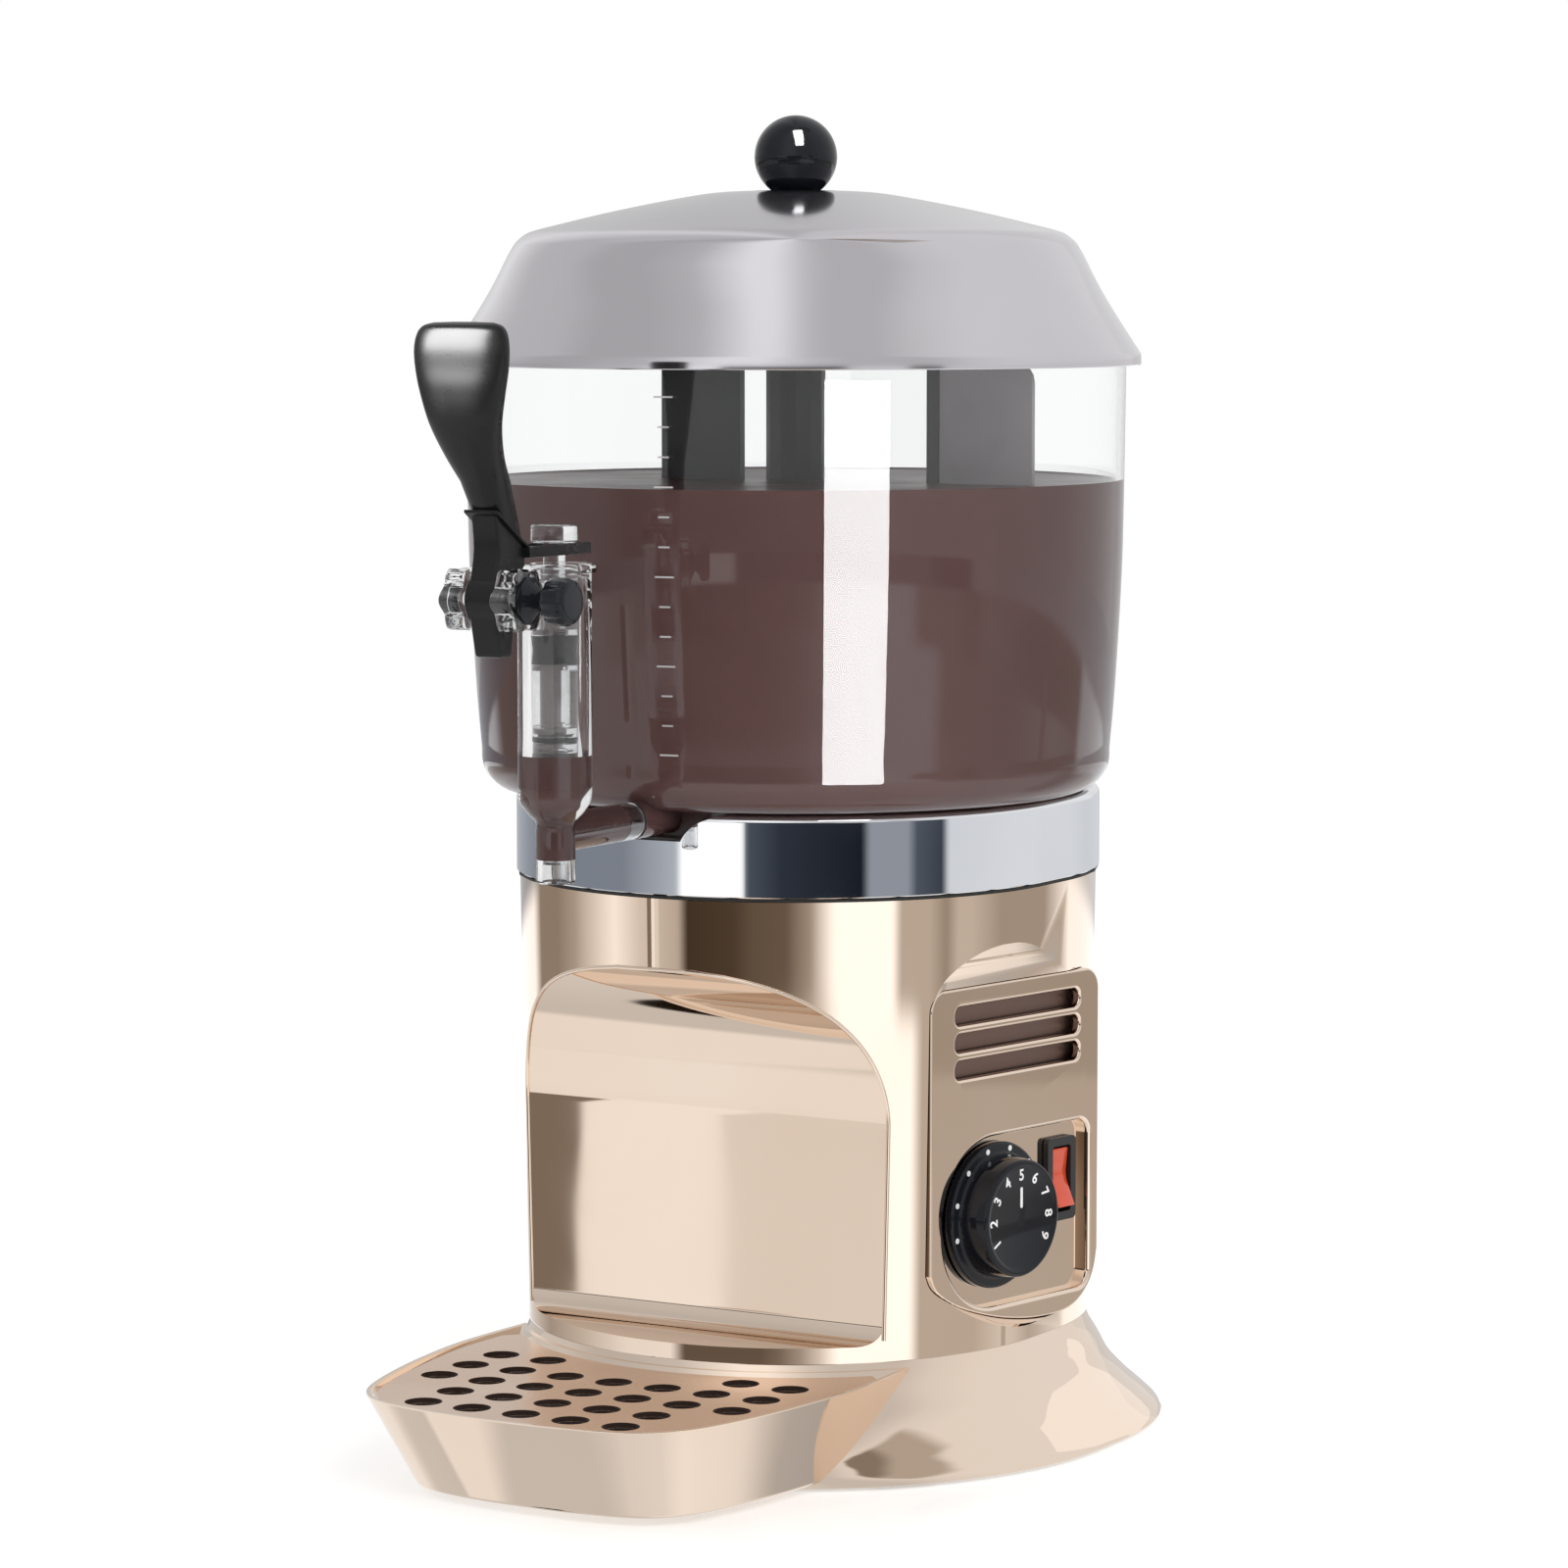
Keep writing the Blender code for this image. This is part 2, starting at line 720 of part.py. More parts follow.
def panel_matrix():
    out = Vector((math.sin(PANEL_TURN), -math.cos(PANEL_TURN), 0))
    along = Vector((-out.y, out.x, 0))
    axes = Matrix((along, (0, 0, 1), out)).transposed().to_4x4()
    return Matrix.Translation(out * PANEL_DISTANCE) @ axes


def gland_wall_y():
    return TOWER_DEPTH + shell_radius(GLAND_Z)


def body_shell(machine):
    outline = shell_outline()
    lip_radius = outline[-1][0]
    profile = [(0, TOWER_TOP_Z), *outline, (lip_radius - FOOT_LIP_ROUND, FOOT_LIP_Z), (0, FOOT_LIP_Z)]
    shell = stretched(turned("body_shell", profile))
    hollow_outline = shell_outline(-SHELL_WALL)
    above = (hollow_outline[0][0], TOWER_TOP_Z + OVERRUN)
    below = (hollow_outline[-1][0], -OVERRUN)
    hollow_profile = [(0, above[1]), above, *hollow_outline[1:], below, (0, below[1])]
    hollow = stretched(turned("hollow", hollow_profile))
    reach = FOOT_RADIUS + OVERRUN
    niche_wall = flat("niche_wall", [niche_outline(SHELL_WALL)], -reach, reach, SIDE_VIEW)
    facet_wall = facet_scoop("facet_wall", SHELL_WALL)
    facet_wall.data.transform(panel_matrix())
    cut(hollow, niche_wall, facet_wall)
    niche = flat("niche", [niche_outline()], -reach, reach, SIDE_VIEW)
    facet = facet_scoop("facet")
    facet.data.transform(panel_matrix())
    panel_hole = flat("panel_hole", [panel_outline(FIT)], -OVERRUN, OVERRUN)
    panel_hole.data.transform(panel_matrix())
    gland_hole = rod(
        "gland_hole", GLAND_BODY_RADIUS + FIT, -OVERRUN, OVERRUN,
        place=(0, gland_wall_y(), GLAND_Z), view=ALONG_PLUS_Y,
    )
    cut(shell, niche, facet, hollow, panel_hole, gland_hole)
    return finished(shell, "champagne_plate", machine)


def base_plate_radius():
    return shell_radius(BASE_PLATE_LOW_Z + BASE_PLATE_THICK) - SHELL_WALL - FIT


def base_plate(machine):
    high = BASE_PLATE_LOW_Z + BASE_PLATE_THICK
    plate = flat("base_plate", [stadium(base_plate_radius())], BASE_PLATE_LOW_Z, high)
    finished(plate, "zinc_steel", machine)


def rubber_feet(machine):
    top = BASE_PLATE_LOW_Z - FIT
    profile = (
        (0, top),
        (RUBBER_FOOT_RADIUS, top),
        (RUBBER_FOOT_RADIUS, RUBBER_FOOT_TAPER),
        (RUBBER_FOOT_RADIUS - RUBBER_FOOT_TAPER, 0),
        (0, 0),
    )
    reach = base_plate_radius() - RUBBER_FOOT_INSET
    x = reach * math.cos(RUBBER_FOOT_TURN)
    y = reach * math.sin(RUBBER_FOOT_TURN)
    for row, row_y in (("front", -y), ("rear", TOWER_DEPTH + y)):
        for side, sign in (("left", -1), ("right", 1)):
            place = (sign * x, row_y, 0)
            foot = turned(f"foot_{row}_{side}", profile, SMALL_STEPS, place)
            finished(foot, "rubber", machine, place)


# Side panel and controls

def pocket_outline(grow=0):
    corners = (POCKET_ROUND, POCKET_CORNER, POCKET_CORNER, POCKET_ROUND)
    return inset(rounded(POCKET_LEFT, POCKET_RIGHT, POCKET_LOW, POCKET_HIGH, corners, 6), -grow)


def control_panel(panel):
    thing = flat("control_panel", [panel_outline()], -PANEL_DEPTH, 0)
    behind = flat("behind", [panel_outline(-PANEL_FACE)], -PANEL_DEPTH - OVERRUN, -PANEL_FACE)
    pocket_back = POCKET_DEPTH + PANEL_FACE
    floor = flat("pocket_floor", [pocket_outline(PANEL_FACE)], -pocket_back, OVERRUN)
    cut(behind, floor)
    pocket = flat("pocket", [pocket_outline()], -POCKET_DEPTH, OVERRUN)
    holes = []
    for index in range(LOUVRE_COUNT):
        high = LOUVRE_TOP_Z - index * LOUVRE_PITCH
        corners = (LOUVRE_CORNER,) * 4
        slot = rounded(LOUVRE_LEFT, LOUVRE_RIGHT, high - LOUVRE_HEIGHT, high, corners, 2)
        holes.append(flat(f"louvre_{index}", [slot], -OVERRUN, OVERRUN))
    shaft_place = (DIAL_ALONG, DIAL_Z, 0)
    holes.append(rod("shaft_hole", DIAL_SHAFT_RADIUS + RUN, -OVERRUN, OVERRUN, place=shaft_place))
    switch = switch_outline(ROCKER_BODY_WIDTH, ROCKER_BODY_HEIGHT, FIT)
    holes.append(flat("switch_hole", [switch], -OVERRUN, OVERRUN))
    cut(thing, behind, pocket, *holes)
    finished(thing, "champagne_plate", panel)


def dial(panel):
    low = FIT + RUN - POCKET_DEPTH
    skirt_top = low + DIAL_SKIRT_THICK
    top = low + DIAL_HEIGHT
    bore = DIAL_SHAFT_RADIUS + FIT
    profile = (
        (0, top - DIAL_EDGE / 2),
        (DIAL_FACE_RADIUS * 0.86, top - DIAL_EDGE / 2),
        (DIAL_FACE_RADIUS * 0.90, top),
        (DIAL_FACE_RADIUS - DIAL_EDGE, top),
        (DIAL_FACE_RADIUS, top - DIAL_EDGE),
        (DIAL_FACE_RADIUS + DIAL_TAPER, skirt_top + DIAL_EDGE),
        (DIAL_FACE_RADIUS + DIAL_TAPER + DIAL_EDGE, skirt_top),
        (DIAL_SKIRT_RADIUS - DIAL_EDGE, skirt_top),
        (DIAL_SKIRT_RADIUS, skirt_top - DIAL_EDGE),
        (DIAL_SKIRT_RADIUS, low),
        (bore, low),
        (bore, low + DIAL_SOCKET),
        (0, low + DIAL_SOCKET),
    )
    place = (DIAL_ALONG, DIAL_Z, 0)
    finished(turned("dial", profile, MEDIUM_STEPS, place), "black_gloss", panel, place)
    back = -POCKET_DEPTH - PANEL_FACE - DIAL_SHAFT_SEAT
    shaft = rod("dial_shaft", DIAL_SHAFT_RADIUS, back, low + DIAL_SOCKET - FIT, place=place)
    finished(shaft, "stainless", panel, place)


def thermostat(panel):
    front = -POCKET_DEPTH - PANEL_FACE - FIT
    half = THERMOSTAT_SIZE / 2
    low = (DIAL_ALONG - half, DIAL_Z - half, front - THERMOSTAT_DEPTH)
    high = (DIAL_ALONG + half, DIAL_Z + half, front)
    thing = box("thermostat", low, high, THERMOSTAT_DEPTH / 10)
    seat = front - DIAL_SHAFT_SEAT - FIT
    hole = rod("hole", DIAL_SHAFT_RADIUS + RUN, seat, OVERRUN, place=(DIAL_ALONG, DIAL_Z, 0))
    cut(thing, hole)
    finished(thing, "white_moulding", panel)


def switch_outline(width, height, grow=0):
    half_width = width / 2 + grow
    half_height = height / 2 + grow
    corners = (width / 12,) * 4
    return rounded(
        ROCKER_ALONG - half_width, ROCKER_ALONG + half_width,
        ROCKER_Z - half_height, ROCKER_Z + half_height, corners, 2,
    )


def rocker_switch(panel):
    seat = FIT - POCKET_DEPTH
    front = seat + ROCKER_FRAME_THICK
    frame = flat("rocker_frame", [switch_outline(ROCKER_FRAME_WIDTH, ROCKER_FRAME_HEIGHT)], seat, front)
    body_outline = switch_outline(ROCKER_BODY_WIDTH, ROCKER_BODY_HEIGHT)
    body = flat("switch_body", [body_outline], seat - ROCKER_BODY_DEPTH, seat + ROCKER_FRAME_THICK / 2)
    joined(frame, body)
    window = switch_outline(ROCKER_WINDOW_WIDTH, ROCKER_WINDOW_HEIGHT)
    cut(frame, flat("window", [window], front - ROCKER_WINDOW_DEPTH, OVERRUN))
    finished(frame, "black_moulding", panel)
    half = ROCKER_LENGTH / 2
    waist = half * 0.55
    outline = (
        (-half, ROCKER_TIP_RISE), (0, ROCKER_DIP_RISE), (half, ROCKER_TIP_RISE),
        (half, 0), (waist, -ROCKER_BACK), (-waist, -ROCKER_BACK), (-half, 0),
    )
    half_width = ROCKER_WINDOW_WIDTH / 2 - RUN
    rocker = flat("rocker", [outline[::-1]], -half_width, half_width, SIDE_VIEW)
    rocker.data.transform(Matrix.Rotation(-ROCKER_TILT, 4, "X"))
    place = (ROCKER_ALONG, ROCKER_Z, front - ROCKER_PIVOT_DEPTH)
    rocker.data.transform(Matrix.Translation(place))
    finished(rocker, "red_lens", panel, place)


# Collar, tank and heating

def tap_notch(name):
    """The cutter for the notch that the tap's channel passes through."""
    rise = COLLAR_TOP_Z - NOTCH_FLOOR_Z
    spread = NOTCH_TOP_HALF - NOTCH_LOW_HALF
    right = [(NOTCH_LOW_HALF, NOTCH_FLOOR_Z)]
    for out_share, up_share in NOTCH_MID_SHARES:
        right.append((NOTCH_LOW_HALF + spread * out_share, NOTCH_FLOOR_Z + rise * up_share))
    right.append((NOTCH_TOP_HALF, COLLAR_TOP_Z))
    right.append((NOTCH_TOP_HALF, COLLAR_TOP_Z + OVERRUN))
    outline = right + [(-x, z) for x, z in reversed(right)]
    return flat(name, [outline], -NOTCH_INNER_Y, COLLAR_RADIUS + OVERRUN, FRONT_VIEW)


def collar(machine):
    inner = COLLAR_RADIUS - COLLAR_WALL
    rim = TANK_FLANGE_RADIUS + FIT
    deck_edge = TANK_RADIUS + FIT
    deck_low = COLLAR_DECK_Z - COLLAR_DECK_THICK
    centre = (COLLAR_RADIUS - COLLAR_ROUND, COLLAR_TOP_Z - COLLAR_ROUND)
    profile = [
        *arc(centre, COLLAR_ROUND, 90, 0, 3),
        (COLLAR_RADIUS, COLLAR_LOW_Z),
        (inner, COLLAR_LOW_Z),
        (inner, deck_low),
        (deck_edge, deck_low),
        (deck_edge, COLLAR_DECK_Z),
        (rim, COLLAR_DECK_Z),
        (rim, COLLAR_TOP_Z),
    ]
    thing = stretched(turned("collar", profile))
    cut(thing, tap_notch("notch"))
    finished(thing, "chrome", machine)


def collar_gasket(machine):
    low = TOWER_TOP_Z + FIT
    outer = COLLAR_RADIUS - FIT
    inner = COLLAR_RADIUS - COLLAR_WALL - SHELL_WALL / 2
    thing = flat("collar_gasket", [stadium(outer), stadium(inner)], low, low + COLLAR_GASKET_THICK)
    finished(thing, "rubber", machine)


def element_feet():
    """Where the element's two ends pass the tank's bottom."""
    angle = ELEMENT_GAP
    x = ELEMENT_RING_RADIUS * math.cos(angle) + ELEMENT_BEND * math.sin(angle)
    y = ELEMENT_RING_RADIUS * math.sin(angle) - ELEMENT_BEND * math.cos(angle)
    return ((x, y), (x, -y))


def water_tank(machine):
    inner = TANK_RADIUS - TANK_WALL
    flange_low = COLLAR_DECK_Z + FIT
    flange_top = flange_low + TANK_FLANGE_THICK
    profile = (
        (0, flange_top), (TANK_FLANGE_RADIUS, flange_top), (TANK_FLANGE_RADIUS, flange_low),
        (TANK_RADIUS, flange_low), (TANK_RADIUS, TANK_LOW_Z), (0, TANK_LOW_Z),
    )
    thing = stretched(turned("water_tank", profile))
    water_profile = (
        (0, flange_top + OVERRUN), (inner, flange_top + OVERRUN),
        (inner, TANK_LOW_Z + TANK_WALL), (0, TANK_LOW_Z + TANK_WALL),
    )
    water = stretched(turned("water", water_profile))
    tools = [water, tap_notch("notch")]
    for index, (x, y) in enumerate(element_feet()):
        radius = ELEMENT_TUBE_RADIUS + FIT
        low, high = TANK_LOW_Z - OVERRUN, TANK_LOW_Z + TANK_WALL * 2
        tools.append(rod(f"element_hole_{index}", radius, low, high, HOLE_STEPS, (x, y, 0)))
    cut(thing, *tools)
    joined(thing, rod("shaft_tube", TANK_TUBE_RADIUS, TANK_LOW_Z, TANK_TUBE_TOP_Z))
    cut(thing, rod("shaft_bore", TANK_TUBE_BORE, TANK_LOW_Z - OVERRUN, TANK_TUBE_TOP_Z + OVERRUN))
    finished(thing, "stainless", machine)


def bowl_gasket(machine):
    low = COLLAR_DECK_Z + FIT + TANK_FLANGE_THICK + FIT
    outlines = [stadium(TANK_FLANGE_RADIUS), circle(WELL_RADIUS + FIT, TURN_STEPS)]
    thing = flat("bowl_gasket", outlines, low, low + BOWL_GASKET_THICK)
    cut(thing, tap_notch("notch"))
    finished(thing, "rubber", machine)


def heating_element(machine):
    route = []
    for index in range(ELEMENT_STEPS + 1):
        angle = ELEMENT_GAP + (2 * math.pi - 2 * ELEMENT_GAP) * index / ELEMENT_STEPS
        route.append(Vector((math.cos(angle), math.sin(angle), 0)) * ELEMENT_RING_RADIUS)
    start_way = Vector((math.sin(ELEMENT_GAP), -math.cos(ELEMENT_GAP), 0))
    ends = []
    for way, foot in ((start_way, route[0]), (Vector((start_way.x, -start_way.y, 0)), route[-1])):
        end = []
        for turn in (30, 60, 90):
            along = ELEMENT_BEND * math.sin(math.radians(turn))
            drop = ELEMENT_BEND * (1 - math.cos(math.radians(turn)))
            end.append(foot + way * along - Vector((0, 0, drop)))
        end.append(foot + way * ELEMENT_BEND - Vector((0, 0, ELEMENT_Z - ELEMENT_END_Z)))
        ends.append(end)
    route = ends[0][::-1] + route + ends[1]
    curve = bpy.data.curves.new("element", "CURVE")
    curve.dimensions = "3D"
    curve.bevel_depth = ELEMENT_TUBE_RADIUS
    curve.bevel_resolution = 1
    curve.use_fill_caps = True
    spline = curve.splines.new("POLY")
    spline.points.add(len(route) - 1)
    for point, place in zip(spline.points, route):
        point.co = (*place, 1)
    thing = mesh_of_curve("heating_element", curve)
    thing.data.transform(Matrix.Translation((0, 0, ELEMENT_Z)))
    finished(thing, "stainless", machine)


# Drive

def screw_places():
    return [(x * MOTOR_SCREW_PLACE, y * MOTOR_SCREW_PLACE, 0) for x in (-1, 1) for y in (-1, 1)]


def motor_plate(machine):
    top = MOTOR_PLATE_Z + MOTOR_PLATE_THICK
    radius = shell_radius(top) - SHELL_WALL - FIT
    outlines = [stadium(radius), circle(SHAFT_RADIUS + RUN, HOLE_STEPS)]
    for x, y, _ in screw_places():
        outlines.append(circle(MOTOR_SCREW_RADIUS + FIT, HOLE_STEPS, (x, y)))
    finished(flat("motor_plate", outlines, MOTOR_PLATE_Z, top), "zinc_steel", machine)


def gearmotor(machine):
    top = MOTOR_PLATE_Z - FIT
    bottom = top - GEARBOX_HEIGHT
    thing = rod("gearmotor", GEARBOX_RADIUS, bottom, top, MEDIUM_STEPS)
    can_profile = (
        (0, bottom + GEARBOX_HEIGHT / 2), (MOTOR_RADIUS, bottom + GEARBOX_HEIGHT / 2),
        (MOTOR_RADIUS, bottom - MOTOR_HEIGHT), (MOTOR_RADIUS * 0.4, bottom - MOTOR_HEIGHT),
        (MOTOR_RADIUS * 0.4, bottom - MOTOR_HEIGHT * 1.08), (0, bottom - MOTOR_HEIGHT * 1.08),
    )
    joined(thing, turned("motor_can", can_profile, SMALL_STEPS, (0, MOTOR_OFFSET_Y, 0)))
    holes = [rod("bore", SHAFT_RADIUS + RUN, SHAFT_LOW_Z - FIT, top + OVERRUN)]
    for index, place in enumerate(screw_places()):
        low = MOTOR_PLATE_Z - MOTOR_SCREW_GRIP - FIT
        radius = MOTOR_SCREW_RADIUS + FIT
        holes.append(rod(f"hole_{index}", radius, low, top + OVERRUN, HOLE_STEPS, place))
    cut(thing, *holes)
    finished(thing, "zinc_steel", machine)


def motor_screws(machine):
    head_low = MOTOR_PLATE_Z + MOTOR_PLATE_THICK + FIT
    head_top = head_low + MOTOR_SCREW_HEAD_HEIGHT
    profile = (
        (0, head_top), (MOTOR_SCREW_HEAD * 0.7, head_top), (MOTOR_SCREW_HEAD, head_low + FIT),
        (MOTOR_SCREW_HEAD, head_low), (MOTOR_SCREW_RADIUS, head_low),
        (MOTOR_SCREW_RADIUS, MOTOR_PLATE_Z - MOTOR_SCREW_GRIP), (0, MOTOR_PLATE_Z - MOTOR_SCREW_GRIP),
    )
    for index, place in enumerate(screw_places()):
        screw = turned(f"motor_screw_{index + 1}", profile, HOLE_STEPS, place)
        finished(screw, "stainless", machine, place)


def drive_shaft(machine):
    shaft = rod("drive_shaft", SHAFT_RADIUS, SHAFT_LOW_Z, SHAFT_HEX_Z + SHAFT_RADIUS)
    joined(shaft, rod("hexagon", SHAFT_HEX_RADIUS, SHAFT_HEX_Z, SHAFT_TOP_Z, 6))
    finished(shaft, "stainless", machine)


# Bowl and stirrer

def bowl(machine):
    """A turned bowl with a stepped well, a hollow centre column and an outlet to the tap."""
    shoulder_z = COLLAR_DECK_Z + TANK_FLANGE_THICK + BOWL_GASKET_THICK + 3 * FIT
    corner_centre = (BOWL_LOW_RADIUS - BOWL_CORNER, shoulder_z + BOWL_CORNER)
    side = [(BOWL_TOP_RADIUS, BOWL_TOP_Z)]
    for up_share, out_share in BOWL_SIDE_SHARES:
        radius = BOWL_LOW_RADIUS + (BOWL_TOP_RADIUS - BOWL_LOW_RADIUS) * out_share
        side.append((radius, BOWL_LOW_Z + (BOWL_TOP_Z - BOWL_LOW_Z) * up_share))
    side.append((BOWL_LOW_RADIUS, BOWL_LOW_Z))
    outer = side + arc(corner_centre, BOWL_CORNER, 0, -90, BOWL_CORNER_STEPS)
    inner = [(radius - BOWL_WALL, z) for radius, z in side]
    inner += arc(corner_centre, BOWL_CORNER - BOWL_WALL, 0, -90, BOWL_CORNER_STEPS)
    floor_z = WELL_LOW_Z + BOWL_WALL
    well = [(WELL_RADIUS, shoulder_z), (WELL_RADIUS, WELL_LOW_Z), (COLUMN_BORE, WELL_LOW_Z)]
    column = [(COLUMN_BORE, COLUMN_TOP_Z), (COLUMN_RADIUS, COLUMN_TOP_Z), (COLUMN_RADIUS, floor_z)]
    step = [(WELL_RADIUS - BOWL_WALL, floor_z), (WELL_RADIUS - BOWL_WALL, shoulder_z + BOWL_WALL)]
    thing = turned("bowl", outer + well + column + step + inner[::-1])
    start = WELL_RADIUS - BOWL_WALL / 2
    shoulder = -OUTLET_SHOULDER_Y
    end = shoulder + SPIGOT_LENGTH
    stub_profile = (
        (0, end), (SPIGOT_RADIUS, end), (SPIGOT_RADIUS, shoulder),
        (OUTLET_RADIUS, shoulder), (OUTLET_RADIUS, start), (0, start),
    )
    at_outlet = (0, 0, OUTLET_Z)
    joined(thing, turned("stub", stub_profile, SMALL_STEPS, at_outlet, ALONG_MINUS_Y))
    low, high = start - OVERRUN, end + OVERRUN
    cut(thing, rod("outlet", OUTLET_BORE, low, high, place=at_outlet, view=ALONG_MINUS_Y))
    finished(thing, "clear_plastic", machine)


def outlet_seal(machine):
    start = -OUTLET_SHOULDER_Y + FIT
    end = start + OUTLET_SEAL_THICK
    inner = SPIGOT_RADIUS + FIT
    profile = ((OUTLET_RADIUS, end), (OUTLET_RADIUS, start), (inner, start), (inner, end))
    place = (0, 0, OUTLET_Z)
    thing = turned("outlet_seal", profile, SMALL_STEPS, place, ALONG_MINUS_Y)
    finished(thing, "rubber", machine)


def agitator(machine):
    sleeve_top = SHAFT_TOP_Z + SLEEVE_CAP
    sleeve_profile = (
        (0, sleeve_top), (SLEEVE_BORE, sleeve_top), (SLEEVE_RADIUS, sleeve_top - STIR_THICK / 2),
        (SLEEVE_RADIUS, SLEEVE_LOW_Z), (SLEEVE_BORE, SLEEVE_LOW_Z),
        (SLEEVE_BORE, SHAFT_HEX_Z + RUN), (0, SHAFT_HEX_Z + RUN),
    )
    thing = turned("agitator", sleeve_profile, SMALL_STEPS)
    half = STIR_THICK / 2
    inner = (SLEEVE_BORE + SLEEVE_RADIUS) / 2
    arm_top = SLEEVE_LOW_Z + STIR_ARM_HEIGHT
    corners = (STIR_CORNER,) * 4
    paddle = rounded(-PADDLE_OUTER, -PADDLE_INNER, SLEEVE_LOW_Z, STIR_TOP_Z, corners)
    post_outer = STIR_POST_INNER + STIR_POST_WIDTH
    tie_top = STIR_TIE_Z + STIR_ARM_HEIGHT
    pieces = [
        flat("paddle", [paddle], -half, half, FRONT_VIEW),
        box("left_arm", (-PADDLE_INNER - half, -half, SLEEVE_LOW_Z), (-inner, half, arm_top)),
        box("left_tie", (-PADDLE_INNER - half, -half, STIR_TIE_Z), (-inner, half, tie_top)),
        box("right_arm", (inner, -half, SLEEVE_LOW_Z), (SCRAPER_OUTER, half, arm_top)),
        box("right_tie", (inner, -half, STIR_TIE_Z), (post_outer - half, half, tie_top)),
        box("post", (STIR_POST_INNER, -half, SLEEVE_LOW_Z + half), (post_outer, half, STIR_TOP_Z)),
    ]
    joined(thing, *pieces)
    socket = SHAFT_HEX_RADIUS + FIT / math.cos(math.pi / 6)
    cut(thing, rod("socket", socket, SHAFT_HEX_Z - OVERRUN, SHAFT_TOP_Z + FIT, 6))
    finished(thing, "black_moulding", machine)
    low = arm_top + FIT
    left = post_outer + FIT
    blade_corners = (FIT, STIR_CORNER, SCRAPER_CORNER, FIT)
    blade = rounded(left, SCRAPER_OUTER, low, STIR_TOP_Z, blade_corners)
    half_blade = SCRAPER_THICK / 2
    scraper = flat("scraper_blade", [blade], -half_blade, half_blade, FRONT_VIEW)
    finished(scraper, "frosted_plastic", machine)


# Tap

def ear_outline():
    outline = []
    steps = EAR_LOBES * 6
    for index in range(steps):
        angle = 2 * math.pi * index / steps
        radius = EAR_RADIUS + EAR_LOBE * math.cos(EAR_LOBES * angle)
        outline.append((PIVOT_Y + radius * math.cos(angle), PIVOT_Z + radius * math.sin(angle)))
    return outline


def tap_body(machine):
    """The clear tap: a tube over a spout, a channel to the bowl and two lobed ears."""
    place = (0, TAP_Y, 0)
    rim_low = TAP_TOP_Z - TAP_RIM_HEIGHT
    profile = (
        (0, TAP_TOP_Z), (TAP_RIM_RADIUS, TAP_TOP_Z), (TAP_RIM_RADIUS, rim_low),
        (TAP_RADIUS, rim_low), (TAP_RADIUS, TAP_CONE_TOP_Z), (SPOUT_RADIUS, TAP_CONE_LOW_Z),
        (SPOUT_RADIUS, SPOUT_LOW_Z), (0, SPOUT_LOW_Z),
    )
    thing = turned("tap_body", profile, MEDIUM_STEPS, place)
    start = -OUTLET_SHOULDER_Y + OUTLET_SEAL_THICK + 2 * FIT
    channel = rod(
        "channel", OUTLET_RADIUS, start, -TAP_Y, place=(0, 0, OUTLET_Z), view=ALONG_MINUS_Y
    )
    pieces = [channel]
    for side, sign in (("left", -1), ("right", 1)):
        low, high = sorted((sign * EAR_INNER_X, sign * EAR_OUTER_X))
        pieces.append(flat(f"ear_{side}", [ear_outline()], low, high, SIDE_VIEW))
        low, high = sorted((sign * (EAR_INNER_X + FIT), sign * TAP_ARM_OUTER_X))
        arm_low = (low, PIVOT_Y, TAP_ARM_LOW_Z)
        arm_high = (high, TAP_Y - TAP_BORE, TAP_ARM_HIGH_Z)
        pieces.append(box(f"arm_{side}", arm_low, arm_high))
    joined(thing, *pieces)
    bore_profile = (
        (0, TAP_TOP_Z + OVERRUN), (TAP_BORE, TAP_TOP_Z + OVERRUN), (TAP_BORE, BORE_CONE_TOP_Z),
        (SPOUT_BORE, BORE_CONE_LOW_Z), (SPOUT_BORE, SPOUT_LOW_Z - OVERRUN), (0, SPOUT_LOW_Z - OVERRUN),
    )
    socket_end = -OUTLET_SHOULDER_Y + SPIGOT_LENGTH + FIT
    socket = SPIGOT_RADIUS + FIT
    passage_profile = (
        (0, -TAP_Y), (OUTLET_BORE, -TAP_Y), (OUTLET_BORE, socket_end),
        (socket, socket_end), (socket, start - OVERRUN / 4), (0, start - OVERRUN / 4),
    )
    at_outlet = (0, 0, OUTLET_Z)
    passage = turned("passage", passage_profile, SMALL_STEPS, at_outlet, ALONG_MINUS_Y)
    reach = EAR_OUTER_X + OVERRUN
    at_pivot = (0, PIVOT_Y, PIVOT_Z)
    pin_hole = rod("pin_hole", PIN_RADIUS + FIT, -reach, reach, place=at_pivot, view=ALONG_X)
    cut(thing, turned("bore", bore_profile, MEDIUM_STEPS, place), passage, pin_hole)
    finished(thing, "clear_plastic", machine)


